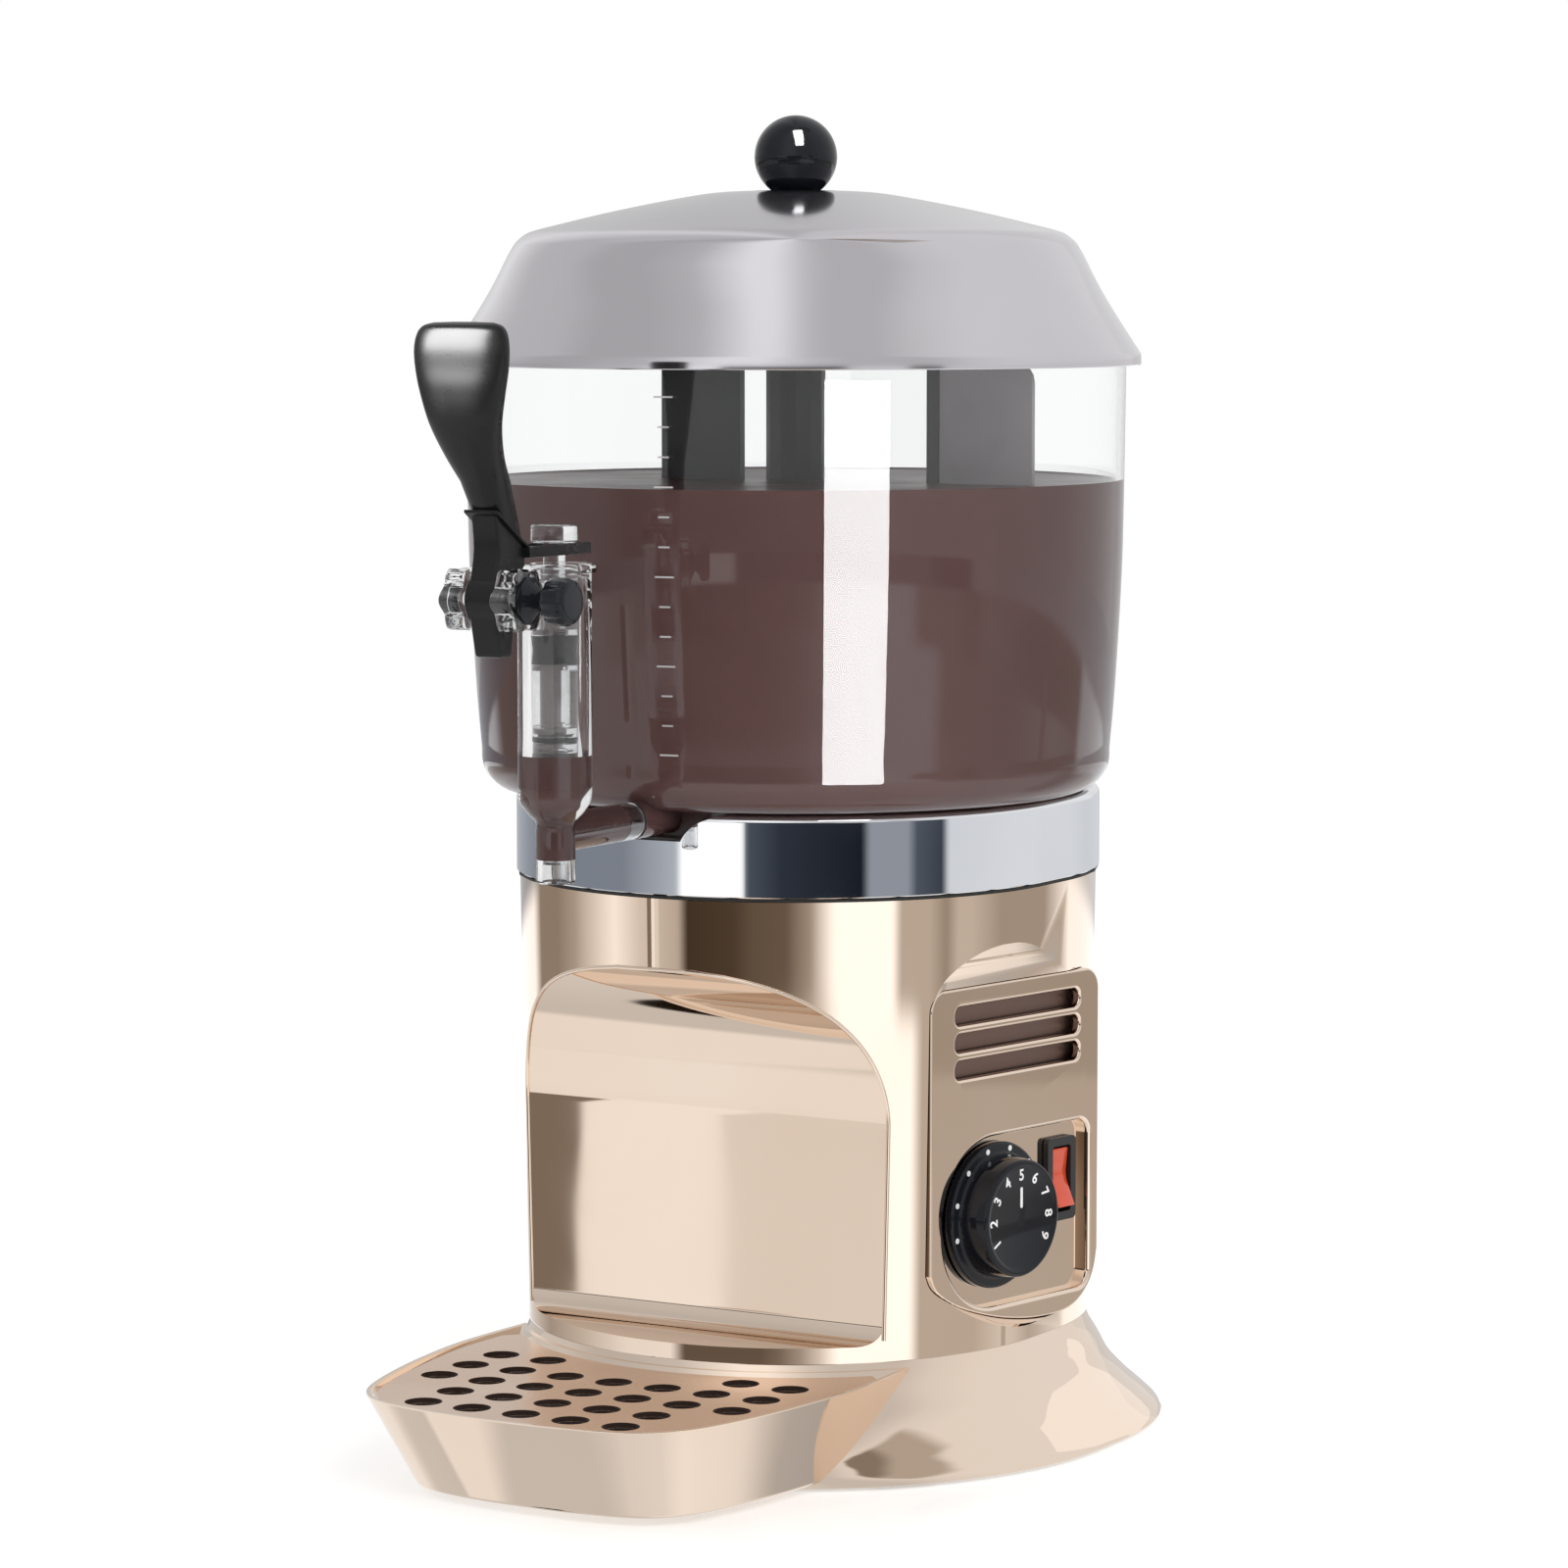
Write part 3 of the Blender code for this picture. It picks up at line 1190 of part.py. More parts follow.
def piston(machine):
    """A clear piston: head for the fork, neck, cup seal's groove, stem, ring's groove and nose."""
    head_top = PISTON_HEAD_LOW_Z + PISTON_HEAD_THICK
    cup_middle = (PISTON_UPPER_TOP_Z + PISTON_UPPER_LOW_Z) / 2
    cup_half = CUP_SEAL_HEIGHT / 2 + FIT
    cup_floor = CUP_SEAL_INNER - FIT
    ring_middle = (PISTON_LOWER_TOP_Z + PISTON_LOWER_LOW_Z) / 2
    ring_half = RING_SEAL_SECTION + FIT
    ring_radius = TAP_BORE - FIT - RING_SEAL_SECTION
    ring_floor = ring_radius - RING_SEAL_SECTION - FIT
    profile = [
        (0, head_top), (PISTON_HEAD_RADIUS - PISTON_HEAD_EDGE, head_top),
        (PISTON_HEAD_RADIUS, head_top - PISTON_HEAD_EDGE), (PISTON_HEAD_RADIUS, PISTON_HEAD_LOW_Z),
        (PISTON_NECK_RADIUS, PISTON_HEAD_LOW_Z), (PISTON_NECK_RADIUS, PISTON_UPPER_TOP_Z),
        (PISTON_RADIUS, PISTON_UPPER_TOP_Z),
        (PISTON_RADIUS, cup_middle + cup_half), (cup_floor, cup_middle + cup_half),
        (cup_floor, cup_middle - cup_half), (PISTON_RADIUS, cup_middle - cup_half),
        (PISTON_RADIUS, PISTON_UPPER_LOW_Z), (PISTON_STEM_RADIUS, PISTON_UPPER_LOW_Z),
        (PISTON_STEM_RADIUS, PISTON_LOWER_TOP_Z), (PISTON_RADIUS, PISTON_LOWER_TOP_Z),
        (PISTON_RADIUS, ring_middle + ring_half), (ring_floor, ring_middle + ring_half),
        (ring_floor, ring_middle - ring_half), (PISTON_RADIUS, ring_middle - ring_half),
        (PISTON_RADIUS, PISTON_LOWER_LOW_Z), (PISTON_NOSE_RADIUS, PISTON_LOWER_LOW_Z),
        (PISTON_NOSE_RADIUS, PISTON_NOSE_Z), (0, PISTON_NOSE_Z),
    ]
    place = (0, TAP_Y, 0)
    finished(turned("piston", profile, SMALL_STEPS, place), "clear_plastic", machine, place)
    outer = TAP_BORE - FIT
    half = CUP_SEAL_HEIGHT / 2
    cup_profile = (
        (outer, cup_middle + half), (outer, cup_middle + half / 2),
        (outer - CUP_SEAL_LIP, cup_middle), (outer, cup_middle - half / 2),
        (outer, cup_middle - half), (CUP_SEAL_INNER, cup_middle - half),
        (CUP_SEAL_INNER, cup_middle + half),
    )
    cup = turned("piston_cup_seal", cup_profile, SMALL_STEPS, place)
    finished(cup, "rubber", machine, place)
    section = arc((ring_radius, ring_middle), RING_SEAL_SECTION, 90, -270, RING_SEAL_STEPS)[:-1]
    ring = turned("piston_ring_seal", section, SMALL_STEPS, place)
    finished(ring, "rubber", machine, place)


# Lever

def seam_z(y):
    """The sloping seam between the lever's arm and its paddle."""
    return SEAM_FRONT_Z - (y - STEM_FRONT_Y) * SEAM_SLOPE_SHARE


def lever_arm(machine):
    front_bulge = PIVOT_Y - HUB_RADIUS * 0.7
    rear_bulge = PIVOT_Y + HUB_RADIUS * 0.7
    tail_middle = PIVOT_Y + HUB_RADIUS * 0.05
    outline = [
        (STEM_FRONT_Y, seam_z(STEM_FRONT_Y)),
        (STEM_FRONT_Y + STEM_HALF / 4, (SEAM_FRONT_Z + PIVOT_Z) / 2 + HUB_RADIUS / 4),
        (front_bulge, PIVOT_Z + HUB_RADIUS * 0.6),
        (front_bulge, PIVOT_Z - HUB_RADIUS * 0.6),
        (tail_middle - TAIL_HALF, TAIL_LOW_Z),
        (tail_middle + TAIL_HALF, TAIL_LOW_Z),
        (rear_bulge, PIVOT_Z - HUB_RADIUS * 0.6),
        (rear_bulge, PIVOT_Z + HUB_RADIUS * 0.6),
        (STEM_REAR_Y, TAP_TOP_Z + FIT),
        (STEM_REAR_Y, seam_z(STEM_REAR_Y)),
    ]
    thing = flat("lever_arm", [outline], -STEM_HALF, STEM_HALF, SIDE_VIEW)
    lip_front = STEM_FRONT_Y - SEAM_LIP
    lip_outline = [
        (lip_front, seam_z(lip_front)),
        (lip_front, seam_z(lip_front) - SEAM_LIP_THICK),
        (STEM_REAR_Y + SEAM_LIP / 2, seam_z(STEM_REAR_Y + SEAM_LIP / 2) - SEAM_LIP_THICK),
        (STEM_REAR_Y + SEAM_LIP / 2, seam_z(STEM_REAR_Y + SEAM_LIP / 2)),
    ]
    lip_half = STEM_HALF + SEAM_LIP
    lip = flat("lip", [lip_outline], -lip_half, lip_half, SIDE_VIEW)
    pivot = (0, PIVOT_Y, PIVOT_Z)
    hub = rod("hub", HUB_RADIUS, -HUB_HALF, HUB_HALF, MEDIUM_STEPS, pivot, ALONG_X)
    top = PISTON_HEAD_LOW_Z - FIT
    low = top - FORK_THICK
    inner = PISTON_NECK_RADIUS + RUN + FIT
    outer = inner + FORK_WIDTH
    bar_front = STEM_REAR_Y - FORK_BAR / 4
    bar = box("bar", (-outer, bar_front, low), (outer, bar_front + FORK_BAR, top))
    tip = PIVOT_Y + FORK_TIP_REACH
    prongs = []
    for side, sign in (("left", -1), ("right", 1)):
        near, far = sorted((sign * inner, sign * outer))
        prongs.append(box(f"prong_{side}", (near, bar_front + FORK_BAR / 2, low), (far, tip, top)))
    joined(thing, lip, hub, bar, *prongs)
    reach = HUB_HALF + OVERRUN
    cut(thing, rod("pin_hole", PIN_RADIUS + FIT, -reach, reach, place=pivot, view=ALONG_X))
    finished(thing, "black_gloss", machine, pivot)


def paddle_ring(z, front, thick, width):
    """A rounded oblong section of the paddle. A height of None follows the seam."""
    points = []
    for index in range(PADDLE_STEPS):
        angle = 2 * math.pi * (index + 0.5) / PADDLE_STEPS
        across, deep = math.cos(angle), math.sin(angle)
        x = math.copysign(abs(across) ** PADDLE_POWER_SHARE, across) * width / 2
        y = math.copysign(abs(deep) ** PADDLE_POWER_SHARE, deep) * thick / 2
        y += front + thick / 2
        points.append((x, y, seam_z(y) + FIT if z is None else z))
    return points


def lever_paddle(machine):
    rings = [paddle_ring(*section) for section in PADDLE_SECTIONS]
    front = STEM_FRONT_Y - PADDLE_FOOT_GROW
    rings.append(paddle_ring(None, front, STEM_REAR_Y - front, PADDLE_FOOT_WIDTH))
    finished(loft("lever_paddle", rings), "black_gloss", machine, (0, PIVOT_Y, PIVOT_Z))


def pivot_pin(machine):
    flange_x = EAR_OUTER_X + FIT
    neck_x = flange_x + PIN_FLANGE_THICK
    cap_round = PIN_CAP_RADIUS * 0.35
    profile = (
        (0, PIN_CAP_OUTER_X), (PIN_CAP_RADIUS - cap_round * 1.6, PIN_CAP_OUTER_X),
        (PIN_CAP_RADIUS - cap_round / 2, PIN_CAP_OUTER_X - cap_round / 2),
        (PIN_CAP_RADIUS, PIN_CAP_OUTER_X - cap_round * 1.2),
        (PIN_CAP_RADIUS, PIN_CAP_INNER_X + cap_round), (PIN_NECK_RADIUS * 1.5, PIN_CAP_INNER_X),
        (PIN_NECK_RADIUS, (PIN_CAP_INNER_X + neck_x) / 2), (PIN_CAP_RADIUS, neck_x),
        (PIN_CAP_RADIUS, flange_x), (PIN_RADIUS, flange_x),
        (PIN_RADIUS, -EAR_OUTER_X), (0, -EAR_OUTER_X),
    )
    pivot = (0, PIVOT_Y, PIVOT_Z)
    thing = turned("pivot_pin", profile, SMALL_STEPS, pivot, ALONG_X)
    finished(thing, "black_gloss", machine, pivot)


# Lid

def lid(machine):
    """A thin turned lid: flat crown, rounded shoulder, flared skirt and a ledge for the bowl."""
    outer = list(LID_OUTLINE)
    dish_z = outer[0][1] - DISH_DEPTH
    skirt = outer[-1][0]
    inner_rim = BOWL_TOP_RADIUS + RUN
    ledge_low = BOWL_TOP_Z + FIT
    ledge_top = ledge_low + LID_LEDGE_THICK
    inner = [(radius - LID_WALL * 0.8, z - LID_WALL) for radius, z in outer[1:-2]]
    inner.append((outer[-2][0] - LID_WALL * 2, ledge_top + LID_WALL))
    inner_floor = dish_z - LID_WALL
    profile = [
        (SCREW_HOLE_RADIUS, dish_z), (DISH_FLOOR_RADIUS, dish_z), *outer,
        (skirt, LID_RIM_Z), (inner_rim, LID_RIM_Z), (inner_rim, ledge_low),
        (LID_LEDGE_INNER, ledge_low), (LID_LEDGE_INNER, ledge_top), *inner[::-1],
        (DISH_FLOOR_RADIUS + LID_WALL, inner_floor), (SCREW_HOLE_RADIUS, inner_floor),
    ]
    finished(turned("lid", profile), "silver_plate", machine)


def knob_pieces(machine):
    dish_radius, rim_z = LID_OUTLINE[0]
    floor = rim_z - DISH_DEPTH + FIT
    top = floor + ROSETTE_THICK
    bore = SCREW_HOLE_RADIUS
    lip_z = rim_z + FIT
    profile = (
        (bore, top), (DISH_FLOOR_RADIUS - ROSETTE_THICK, top), (dish_radius - ROSETTE_THICK, lip_z),
        (dish_radius - FIT, lip_z), (DISH_FLOOR_RADIUS - FIT, floor), (bore, floor),
    )
    finished(turned("knob_rosette", profile, MEDIUM_STEPS), "black_gloss", machine)
    neck_low = top + FIT
    fall = math.sqrt(KNOB_RADIUS ** 2 - KNOB_NECK_RADIUS ** 2)
    start = math.degrees(math.atan2(-fall, KNOB_NECK_RADIUS))
    ball = arc((0, KNOB_CENTRE_Z), KNOB_RADIUS, 90, start, 11)
    ball[0] = (0, KNOB_CENTRE_Z + KNOB_RADIUS)
    hole = KNOB_SCREW_RADIUS + FIT
    hole_top = neck_low + KNOB_SCREW_DEPTH
    profile = [*ball, (KNOB_NECK_RADIUS, neck_low), (hole, neck_low), (hole, hole_top), (0, hole_top)]
    finished(turned("lid_knob", profile, MEDIUM_STEPS), "black_gloss", machine)
    head_top = rim_z - DISH_DEPTH - LID_WALL - FIT
    head_low = head_top - KNOB_SCREW_HEAD_HEIGHT
    profile = (
        (0, hole_top - FIT), (KNOB_SCREW_RADIUS, hole_top - FIT), (KNOB_SCREW_RADIUS, head_top),
        (KNOB_SCREW_HEAD_RADIUS, head_top), (KNOB_SCREW_HEAD_RADIUS * 0.8, head_low), (0, head_low),
    )
    finished(turned("knob_screw", profile, HOLE_STEPS), "stainless", machine)


# Drip tray and grille

def tray_outline(z, distance=0):
    """The tray at a height, seen from above and moved in by a distance. It runs anticlockwise."""
    drop = (TRAY_RIM_Z - z) / (TRAY_RIM_Z - TRAY_LOW_Z)
    half = TRAY_HALF * (1 - drop * (1 - TRAY_LOW_WIDTH_SHARE))
    depth = (TRAY_FRONT_Y - TRAY_REAR_Y) * (1 - drop * (1 - TRAY_LOW_DEPTH_SHARE))
    left = [(-half * across, TRAY_REAR_Y + depth * along) for across, along in TRAY_RIM_SHARES]
    right = [(-x, y) for x, y in reversed(left[:-1])]
    return inset(left + right, distance)


def tray_loft(name, levels):
    return loft(name, [[(x, y, z) for x, y in tray_outline(z, distance)] for z, distance in levels])


def foot_envelope(name, grow):
    """The room that the tower and its foot take up, and a margin, for cutting the tray."""
    outline = shell_outline(grow)
    bottom = (outline[-1][0], -OVERRUN)
    return turned(name, [(0, TOWER_TOP_Z), *outline, bottom, (0, bottom[1])])


def drip_tray(machine):
    """An open tray with leaning walls, a ledge for the grille and a rear wall round the foot."""
    round_z = TRAY_LOW_Z + TRAY_LOW_ROUND
    levels = [(TRAY_LOW_Z, TRAY_LOW_ROUND), (round_z, 0), (TRAY_RIM_Z, 0)]
    thing = tray_loft("drip_tray", levels)
    floor_z = TRAY_LOW_Z + TRAY_FLOOR
    under_ledge = TRAY_WALL + TRAY_LEDGE
    above_z = TRAY_RIM_Z + TRAY_FLOOR
    lower = tray_loft("lower_room", [
        (floor_z, TRAY_WALL), (TRAY_LEDGE_Z - TRAY_LEDGE, under_ledge),
        (TRAY_LEDGE_Z + FIT, under_ledge),
    ])
    upper = tray_loft("upper_room", [(TRAY_LEDGE_Z, TRAY_WALL), (above_z, TRAY_WALL)])
    rear_wall = TRAY_GAP + TRAY_WALL
    cut(lower, foot_envelope("lower_rear", rear_wall + TRAY_LEDGE))
    cut(upper, foot_envelope("upper_rear", rear_wall))
    cut(thing, foot_envelope("rear", TRAY_GAP), upper, lower)
    finished(thing, "champagne_plate", machine)


def grille_outline():
    """The tray's outline at the ledge, closed at the rear by an arc round the tower."""
    outline = tray_outline(TRAY_LEDGE_Z, TRAY_WALL + FIT)
    rear_radius = shell_radius(TRAY_LEDGE_Z) + TRAY_GAP + TRAY_WALL + 2 * FIT
    kept = [point for point in outline if math.hypot(*point) > rear_radius]
    (rear_x, rear_y), (side_x, side_y) = outline[0], kept[0]
    near, far = 0.0, 1.0
    for _ in range(30):
        middle = (near + far) / 2
        x = side_x + (rear_x - side_x) * middle
        y = side_y + (rear_y - side_y) * middle
        if math.hypot(x, y) > rear_radius:
            near = middle
        else:
            far = middle
    meet = math.degrees(math.atan2(-y, -x))
    return kept + arc((0, 0), rear_radius, 360 - meet, 180 + meet, GRILLE_REAR_STEPS)


def edge_distance(point, outline):
    """How far a point lies from an outline's nearest edge."""
    point = Vector(point)
    distances = []
    for index, start in enumerate(outline):
        start = Vector(start)
        edge = Vector(outline[(index + 1) % len(outline)]) - start
        along = min(max((point - start).dot(edge) / edge.length_squared, 0), 1)
        distances.append((point - start - edge * along).length)
    return min(distances)


def inside(point, outline):
    """Whether a point lies within an outline."""
    x, y = point
    crossings = 0
    for index, (start_x, start_y) in enumerate(outline):
        end_x, end_y = outline[(index + 1) % len(outline)]
        if (start_y > y) != (end_y > y):
            crossings += x < start_x + (end_x - start_x) * (y - start_y) / (end_y - start_y)
    return crossings % 2 == 1


def grille_holes(outline):
    """Round holes on a square grid, where they clear the edges."""
    clear = GRILLE_HOLE_RADIUS + GRILLE_EDGE
    front_y = min(y for _, y in outline)
    rows = int(-front_y / GRILLE_PITCH)
    columns = int(TRAY_HALF / GRILLE_PITCH)
    holes = []
    for row in range(rows):
        y = front_y + GRILLE_FRONT_MARGIN + row * GRILLE_PITCH
        for column in range(-columns, columns + 1):
            middle = (column * GRILLE_PITCH, y)
            if inside(middle, outline) and edge_distance(middle, outline) > clear:
                holes.append(circle(GRILLE_HOLE_RADIUS, HOLE_STEPS, middle))
    return holes


def drip_grille(machine):
    outline = grille_outline()
    holes = grille_holes(outline)
    low = TRAY_LEDGE_Z + FIT
    thing = flat("drip_grille", [outline, *holes], low, low + GRILLE_THICK)
    finished(thing, "grille_plate", machine)


# Small fittings

def cord_gland(machine):
    wall = gland_wall_y()
    radius = shell_radius(GLAND_Z)
    sag = radius - math.sqrt(radius ** 2 - GLAND_RADIUS ** 2)
    inner = -SHELL_WALL - sag - 2 * FIT
    profile = (
        (GLAND_TIP_RADIUS, GLAND_REACH), (GLAND_RADIUS, GLAND_FLANGE), (GLAND_RADIUS, FIT),
        (GLAND_BODY_RADIUS, FIT), (GLAND_BODY_RADIUS, inner), (GLAND_RADIUS, inner),
        (GLAND_RADIUS, inner - GLAND_FLANGE), (GLAND_BORE, inner - GLAND_FLANGE),
        (GLAND_BORE, GLAND_REACH),
    )
    place = (0, wall, GLAND_Z)
    thing = turned("cord_gland", profile, SMALL_STEPS, place, ALONG_PLUS_Y)
    finished(thing, "black_moulding", machine, place)


def terminal_block(machine):
    low_z = BASE_PLATE_LOW_Z + BASE_PLATE_THICK + FIT
    low = (TERMINAL_X - TERMINAL_LENGTH / 2, TERMINAL_Y - TERMINAL_WIDTH / 2, low_z)
    high = (TERMINAL_X + TERMINAL_LENGTH / 2, TERMINAL_Y + TERMINAL_WIDTH / 2, low_z + TERMINAL_HEIGHT)
    thing = box("terminal_block", low, high)
    slots = []
    for index in range(TERMINAL_COUNT - 1):
        x = low[0] + TERMINAL_LENGTH * (index + 1) / TERMINAL_COUNT
        slot_low = (x - TERMINAL_SLOT / 2, low[1] - OVERRUN, low_z + TERMINAL_HEIGHT / 2)
        slot_high = (x + TERMINAL_SLOT / 2, high[1] + OVERRUN, high[2] + OVERRUN)
        slots.append(box(f"slot_{index}", slot_low, slot_high))
    cut(thing, *slots)
    finished(thing, "white_moulding", machine)


# Assembly

def centred(machine):
    """Moves the machine so that its footprint is centred on the origin."""
    bpy.context.view_layer.update()
    corners = []
    for thing in bpy.data.collections[PARTS].objects:
        if thing.type == "MESH":
            corners += [thing.matrix_world @ Vector(corner) for corner in thing.bound_box]
    for axis in (0, 1):
        values = [corner[axis] for corner in corners]
        machine.location[axis] -= (min(values) + max(values)) / 2
    bpy.context.view_layer.update()
    print("bowl axis at", tuple(round(value, 6) for value in machine.matrix_world.translation))


def main():
    clear_scene()
    make_collection(PARTS)
    make_finishes()
    machine = new_thing("machine_axis", None)
    panel = new_thing("panel_plane", None)
    panel.parent = machine
    panel.matrix_local = panel_matrix()
    for piece in (
        body_shell, base_plate, rubber_feet, collar, collar_gasket, water_tank, bowl_gasket,
        heating_element, motor_plate, gearmotor, motor_screws, drive_shaft, bowl, outlet_seal,
        agitator, tap_body, piston, lever_arm, lever_paddle, pivot_pin, lid, knob_pieces,
        drip_tray, drip_grille, cord_gland, terminal_block,
    ):
        piece(machine)
    for piece in (control_panel, dial, thermostat, rocker_switch):
        piece(panel)
    centred(machine)


main()
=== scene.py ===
import math

import bmesh
import bpy
from mathutils import Matrix, Vector


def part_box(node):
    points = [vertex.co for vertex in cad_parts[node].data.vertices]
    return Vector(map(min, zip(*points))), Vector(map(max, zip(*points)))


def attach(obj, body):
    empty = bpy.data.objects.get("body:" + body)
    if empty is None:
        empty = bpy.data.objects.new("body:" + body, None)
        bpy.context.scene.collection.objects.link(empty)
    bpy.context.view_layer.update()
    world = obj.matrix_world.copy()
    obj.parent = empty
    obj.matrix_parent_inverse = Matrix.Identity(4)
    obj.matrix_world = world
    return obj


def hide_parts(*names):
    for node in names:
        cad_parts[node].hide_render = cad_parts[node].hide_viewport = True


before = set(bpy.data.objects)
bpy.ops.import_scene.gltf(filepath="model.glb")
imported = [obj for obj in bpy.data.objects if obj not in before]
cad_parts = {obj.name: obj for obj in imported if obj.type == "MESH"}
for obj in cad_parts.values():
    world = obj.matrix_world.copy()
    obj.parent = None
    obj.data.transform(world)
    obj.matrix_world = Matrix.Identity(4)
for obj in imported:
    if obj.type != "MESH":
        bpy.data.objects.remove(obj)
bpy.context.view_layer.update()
print("frame loaded,", len(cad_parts), "nodes")

# The bowl, tower and lid are all drawn round the drive shaft's axis
shaftLow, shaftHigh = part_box("drive_shaft")
axisY = (shaftLow[1] + shaftHigh[1]) / 2
toAxis = Matrix.Translation((0, axisY, 0))

sideView = Matrix(((0, 0, 1, 0), (1, 0, 0, 0), (0, 1, 0, 0), (0, 0, 0, 1)))  # drawn along Y and up
frontView = Matrix(((1, 0, 0, 0), (0, 0, -1, 0), (0, 1, 0, 0), (0, 0, 0, 1)))  # drawn along X and up
alongX = Matrix.Rotation(math.pi / 2, 4, "Y")
alongFront = Matrix.Rotation(math.pi / 2, 4, "X")
passThrough = 0.02  # how far a cutter runs past a face
fit = 0.0003  # the gap between pieces that sit against each other
weld = 0.000002  # points closer than this become one


# Mesh tools

def addObject(name, data):
    obj = bpy.data.objects.new(name, data)
    bpy.context.scene.collection.objects.link(obj)
    return obj


def fromShape(name, shape):
    mesh = bpy.data.meshes.new(name)
    shape.to_mesh(mesh)
    shape.free()
    return addObject(name, mesh)


def evaluated(obj):
    bpy.context.view_layer.update()
    graph = bpy.context.evaluated_depsgraph_get()
    return bpy.data.meshes.new_from_object(obj.evaluated_get(graph))


def applied(obj):
    mesh = evaluated(obj)
    obj.modifiers.clear()
    obj.data = mesh
    return obj


def curveMesh(name, curve):
    guide = addObject(name + "Guide", curve)
    mesh = evaluated(guide)
    bpy.data.objects.remove(guide, do_unlink=True)
    return mesh


def welded(mesh):
    shape = bmesh.new()
    shape.from_mesh(mesh)
    bmesh.ops.remove_doubles(shape, verts=shape.verts, dist=weld)
    bmesh.ops.recalc_face_normals(shape, faces=shape.faces)
    shape.to_mesh(mesh)
    shape.free()


def lathe(name, profile, steps, place=(0, 0, 0), view=None):
    # the profile is a list of radius and height; it closes on itself unless it starts on the axis
    shape = bmesh.new()
    angles = [2 * math.pi * (step + 0.5) / steps for step in range(steps)]
    rings = []
    for radius, z in profile:
        if radius < 1e-7:
            rings.append([shape.verts.new((0, 0, z))])
        else:
            rings.append([shape.verts.new((radius * math.cos(a), radius * math.sin(a), z)) for a in angles])
    pairs = list(zip(rings, rings[1:]))
    if len(rings[0]) > 1:
        pairs.append((rings[-1], rings[0]))
    for upper, lower in pairs:
        for step in range(steps):
            after = (step + 1) % steps
            corners = []
            for ring, index in ((upper, step), (upper, after), (lower, after), (lower, step)):
                vert = ring[index] if len(ring) > 1 else ring[0]
                if vert not in corners:
                    corners.append(vert)
            if len(corners) > 2:
                shape.faces.new(corners)
    bmesh.ops.recalc_face_normals(shape, faces=shape.faces)
    obj = fromShape(name, shape)
    if view:
        obj.data.transform(view)
    obj.data.transform(Matrix.Translation(place))
    return obj


def cylinder(name, radius, low, high, steps, place, view):
    return lathe(name, [(0, high), (radius, high), (radius, low), (0, low)], steps, place, view)


def addLine(curve, points, closed):
    line = curve.splines.new("POLY")
    line.points.add(len(points) - 1)
    for point, place in zip(line.points, points):
        point.co = (*place, 1)
    line.use_cyclic_u = closed


def prism(name, outlines, low, high, view=None):
    # the first outline, less the others, from low to high
    curve = bpy.data.curves.new(name, "CURVE")
    curve.dimensions = "2D"
    curve.fill_mode = "BOTH"
    curve.extrude = (high - low) / 2
    for outline in outlines:
        addLine(curve, [(across, up, 0) for across, up in outline], True)
    mesh = curveMesh(name, curve)
    welded(mesh)
    mesh.transform(Matrix.Translation((0, 0, (low + high) / 2)))
    if view:
        mesh.transform(view)
    return addObject(name, mesh)


def wire(name, points, radius):
    curve = bpy.data.curves.new(name, "CURVE")
    curve.dimensions = "3D"
    curve.bevel_depth = radius
    curve.bevel_resolution = 4
    curve.use_fill_caps = True
    addLine(curve, points, False)
    return addObject(name, curveMesh(name, curve))


def loft(name, rings):
    shape = bmesh.new()
    rows = [[shape.verts.new(point) for point in ring] for ring in rings]
    for lower, upper in zip(rows, rows[1:]):
        for index in range(len(lower)):
            after = (index + 1) % len(lower)
            shape.faces.new((lower[index], lower[after], upper[after], upper[index]))
    shape.faces.new(rows[0])
    shape.faces.new(rows[-1])
    bmesh.ops.recalc_face_normals(shape, faces=shape.faces)
    return fromShape(name, shape)


def bar(name, low, high, edge):
    shape = bmesh.new()
    bmesh.ops.create_cube(shape, size=1)
    low, high = Vector(low), Vector(high)
    place = Matrix.Translation((low + high) / 2) @ Matrix.Diagonal((*(high - low), 1))
    bmesh.ops.transform(shape, matrix=place, verts=shape.verts)
    if edge:
        bmesh.ops.bevel(shape, geom=shape.edges[:], offset=edge, segments=2, profile=0.5, affect="EDGES")
    return fromShape(name, shape)


def joined(name, things):
    shape = bmesh.new()
    for thing in things:
        shape.from_mesh(thing.data)
        bpy.data.objects.remove(thing, do_unlink=True)
    return fromShape(name, shape)


def boolean(obj, operation, tools):
    for tool in tools:
        step = obj.modifiers.new("Step", "BOOLEAN")
        step.operation = operation
        step.object = tool
        welded(applied(obj).data)
        bpy.data.objects.remove(tool, do_unlink=True)
    return obj


def carve(obj, *tools):
    return boolean(obj, "DIFFERENCE", tools)


def fuse(obj, *tools):
    return boolean(obj, "UNION", tools)


def softenEdges(obj, width, segments, angle=35):
    bevel = obj.modifiers.new("Edges", "BEVEL")
    bevel.width = width
    bevel.segments = segments
    bevel.limit_method = "ANGLE"
    bevel.angle_limit = math.radians(angle)
    bevel.use_clamp_overlap = True
    return applied(obj)


def dress(obj, material, body, replaces=(), smooth=32, flat=False):
    # gives a piece its finish, its shading and the body that it rides on
    obj.data.transform(toAxis)
    obj.data.materials.clear()
    obj.data.materials.append(material)
    obj.data.shade_smooth()
    obj.data.set_sharp_from_angle(angle=math.radians(smooth))
    if flat:  # broad faces keep their own even normals beside small rounded edges
        weigh = obj.modifiers.new("Normals", "WEIGHTED_NORMAL")
        weigh.keep_sharp = True
        weigh.weight = 90
        applied(obj)
    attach(obj, body)
    if replaces:
        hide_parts(*replaces)
    return obj


# Outlines

